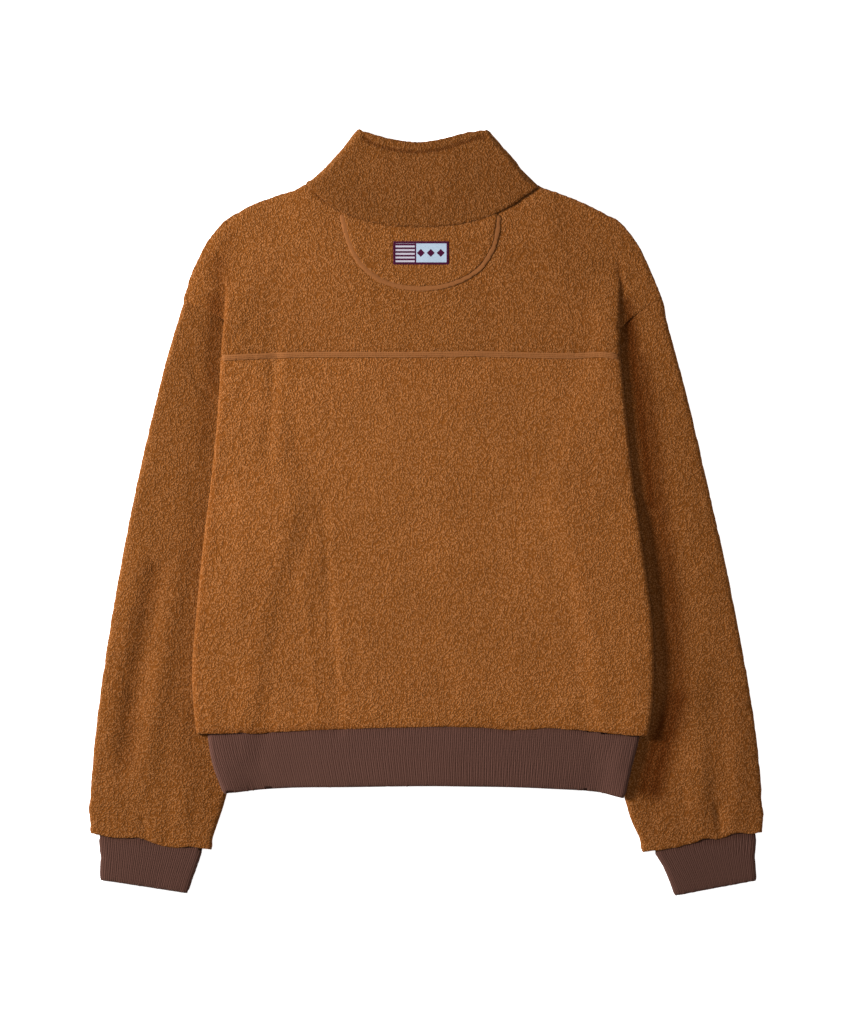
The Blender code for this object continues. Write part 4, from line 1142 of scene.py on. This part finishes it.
# %% The woven label
LABEL_LOW, LABEL_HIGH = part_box("label")
INSIDE = (26.6, 9.8)    # half of the field inside the border, in millimetres
STRIPES_END, PALE_START = -6.6, -5.0
STRIPES_PER_MM = 0.26
DIAMOND_ASIDE, DIAMOND_GAP, DIAMOND_SIZE = 0.2, 5.2, 4.2
MAROON, WHITE, PALE_BLUE = (0.040, 0.006, 0.022, 1.0), (0.33, 0.31, 0.35, 1.0), (0.27, 0.33, 0.40, 1.0)


def within(tree, value, half):
    """1 where a value lies less than so far from 0."""
    above = math_node(tree, "GREATER_THAN", value, -half)
    return times(tree, above, math_node(tree, "LESS_THAN", value, half))


def label_finish():
    """Maroon, white and pale blue threads."""
    made, tree, shader, place = plain_finish("label_weave", 0.75)
    middle = (LABEL_LOW + LABEL_HIGH) / 2
    parts = split(tree, mapped(tree, place, "Location", (-middle.x, -middle.y, 0.0)))
    x, y = (times(tree, part, 1000.0) for part in (parts[0], parts[1]))
    inside = times(tree, within(tree, x, INSIDE[0]), within(tree, y, INSIDE[1]))
    striped = times(tree, inside, math_node(tree, "LESS_THAN", x, STRIPES_END))
    pale = times(tree, inside, math_node(tree, "GREATER_THAN", x, PALE_START))
    stripe = math_node(tree, "FRACT", times(tree, y, STRIPES_PER_MM))
    white = times(tree, striped, math_node(tree, "GREATER_THAN", stripe, 0.5))
    aside = math_node(tree, "PINGPONG", math_node(tree, "ADD", x, DIAMOND_ASIDE), DIAMOND_GAP)
    away = math_node(tree, "ADD", aside, math_node(tree, "ABSOLUTE", y))
    diamond = math_node(tree, "LESS_THAN", away, DIAMOND_SIZE)
    blue = times(tree, pale, math_node(tree, "SUBTRACT", 1.0, diamond))
    pattern = mix_colours(tree, blue, mix_colours(tree, white, MAROON, WHITE), PALE_BLUE)
    weave = math_node(tree, "ADD", wave(tree, x, 2.0), wave(tree, y, 2.6))
    shades = ramp(tree, weave, [(0.1, (0.72, 0.72, 0.72)), (0.8, (1.0, 1.0, 1.0))])
    link(tree, mix_colours(tree, 1.0, pattern, shades, "MULTIPLY"), shader.inputs["Base Color"])
    add_relief(tree, shader, weave, 0.5, 0.0002)
    return made


pieces["label"].data.materials.append(label_finish())
print("label:", [round(side / MM, 1) for side in LABEL_HIGH - LABEL_LOW], "mm")

# %% [markdown]
# ## Cloth facts
# A table gives how large each cut was before it was sewn, and each piece's area is printed beside it.

CUTS = {    # width and length in metres, area in square metres
    "back_panel": (0.488, 0.402, 0.190),
    "back_yoke": (0.505, 0.180, 0.077),
    "sleeve_left": (0.420, 0.580, 0.165),
    "sleeve_right": (0.420, 0.580, 0.165),
    "collar": (0.470, 0.100, 0.040),
    "half_moon": (0.162, 0.078, 0.009),
    "front_left": (0.250, 0.570, 0.110),
    "front_right": (0.250, 0.570, 0.110),
    "hem_band": (0.900, 0.066, 0.058),
    "cuff_left": (0.200, 0.046, 0.009),
    "cuff_right": (0.200, 0.046, 0.009),
    "label": (0.058, 0.024, 0.00139),
    "zip_tape_left": (0.014, 0.539, 0.0075),
    "zip_tape_right": (0.014, 0.539, 0.0075),
}


def cloth_area(piece):
    """Half of a closed wall's surface, in square metres."""
    return sum(face.area for face in piece.data.polygons) / 2


for solid, cut in CUTS.items():
    print(pieces[solid].name, "area", round(cloth_area(pieces[solid]), 4), "stated", cut[2])

# %% [markdown]
# ## Camera, floor and light
# The camera hangs three metres above the table. A white floor that glows a little and an even white sky
# keep the ground pure. One soft round light, low on the left and a little up the back, gives the folds
# and the right side of the body their shadows. Painted shade in the finishes of the sleeves widens the
# shade beside the body.

# %% Camera
PICTURE_HEIGHT = 1.0701    # metres of table from the top to the bottom of the picture
camera_data = bpy.data.cameras.new("above")
camera = add_object("above", camera_data)
camera.location = (0.0005, 0.0, 3.008)
camera_data.sensor_fit = "VERTICAL"
camera_data.sensor_height = 24.0
camera_data.lens = 24.0 * 3.0 / PICTURE_HEIGHT
camera_data.clip_end = 50.0
scene = bpy.context.scene
scene.camera = camera
print("camera height:", round(camera.location.z, 3), "m, lens", round(camera_data.lens, 1), "mm")

# %% Floor
bpy.ops.mesh.primitive_plane_add(size=8.0, location=(0.0, 0.0, -0.0003))
floor = bpy.context.object
floor.name = "floor"
floor_finish = bpy.data.materials.new("pale_floor")
floor_finish.use_nodes = True
floor_shader = floor_finish.node_tree.nodes["Principled BSDF"]
for socket, value in (("Base Color", (0.97, 0.97, 0.97, 1.0)), ("Roughness", 0.9),
                      ("Emission Color", (1.0, 1.0, 1.0, 1.0)), ("Emission Strength", 0.7)):
    floor_shader.inputs[socket].default_value = value
floor.data.materials.append(floor_finish)
print("floor glow:", round(floor_shader.inputs["Emission Strength"].default_value, 2))

# %% Light
world = bpy.data.worlds.new("white_sky")
world.use_nodes = True
sky = world.node_tree.nodes["Background"]
sky.inputs["Color"].default_value = (1.0, 1.0, 1.0, 1.0)
sky.inputs["Strength"].default_value = 0.60
scene.world = world
key_data = bpy.data.lights.new("window", "AREA")
key_data.shape = "DISK"
key_data.size = 0.6
key_data.energy = 160.0
key = add_object("window", key_data)
key.location = (-1.9, 0.50, 0.98)
key.rotation_euler = (-key.location).to_track_quat("-Z", "Y").to_euler()
scene.view_settings.view_transform = "Standard"
print("light:", tuple(round(v, 2) for v in key.location))
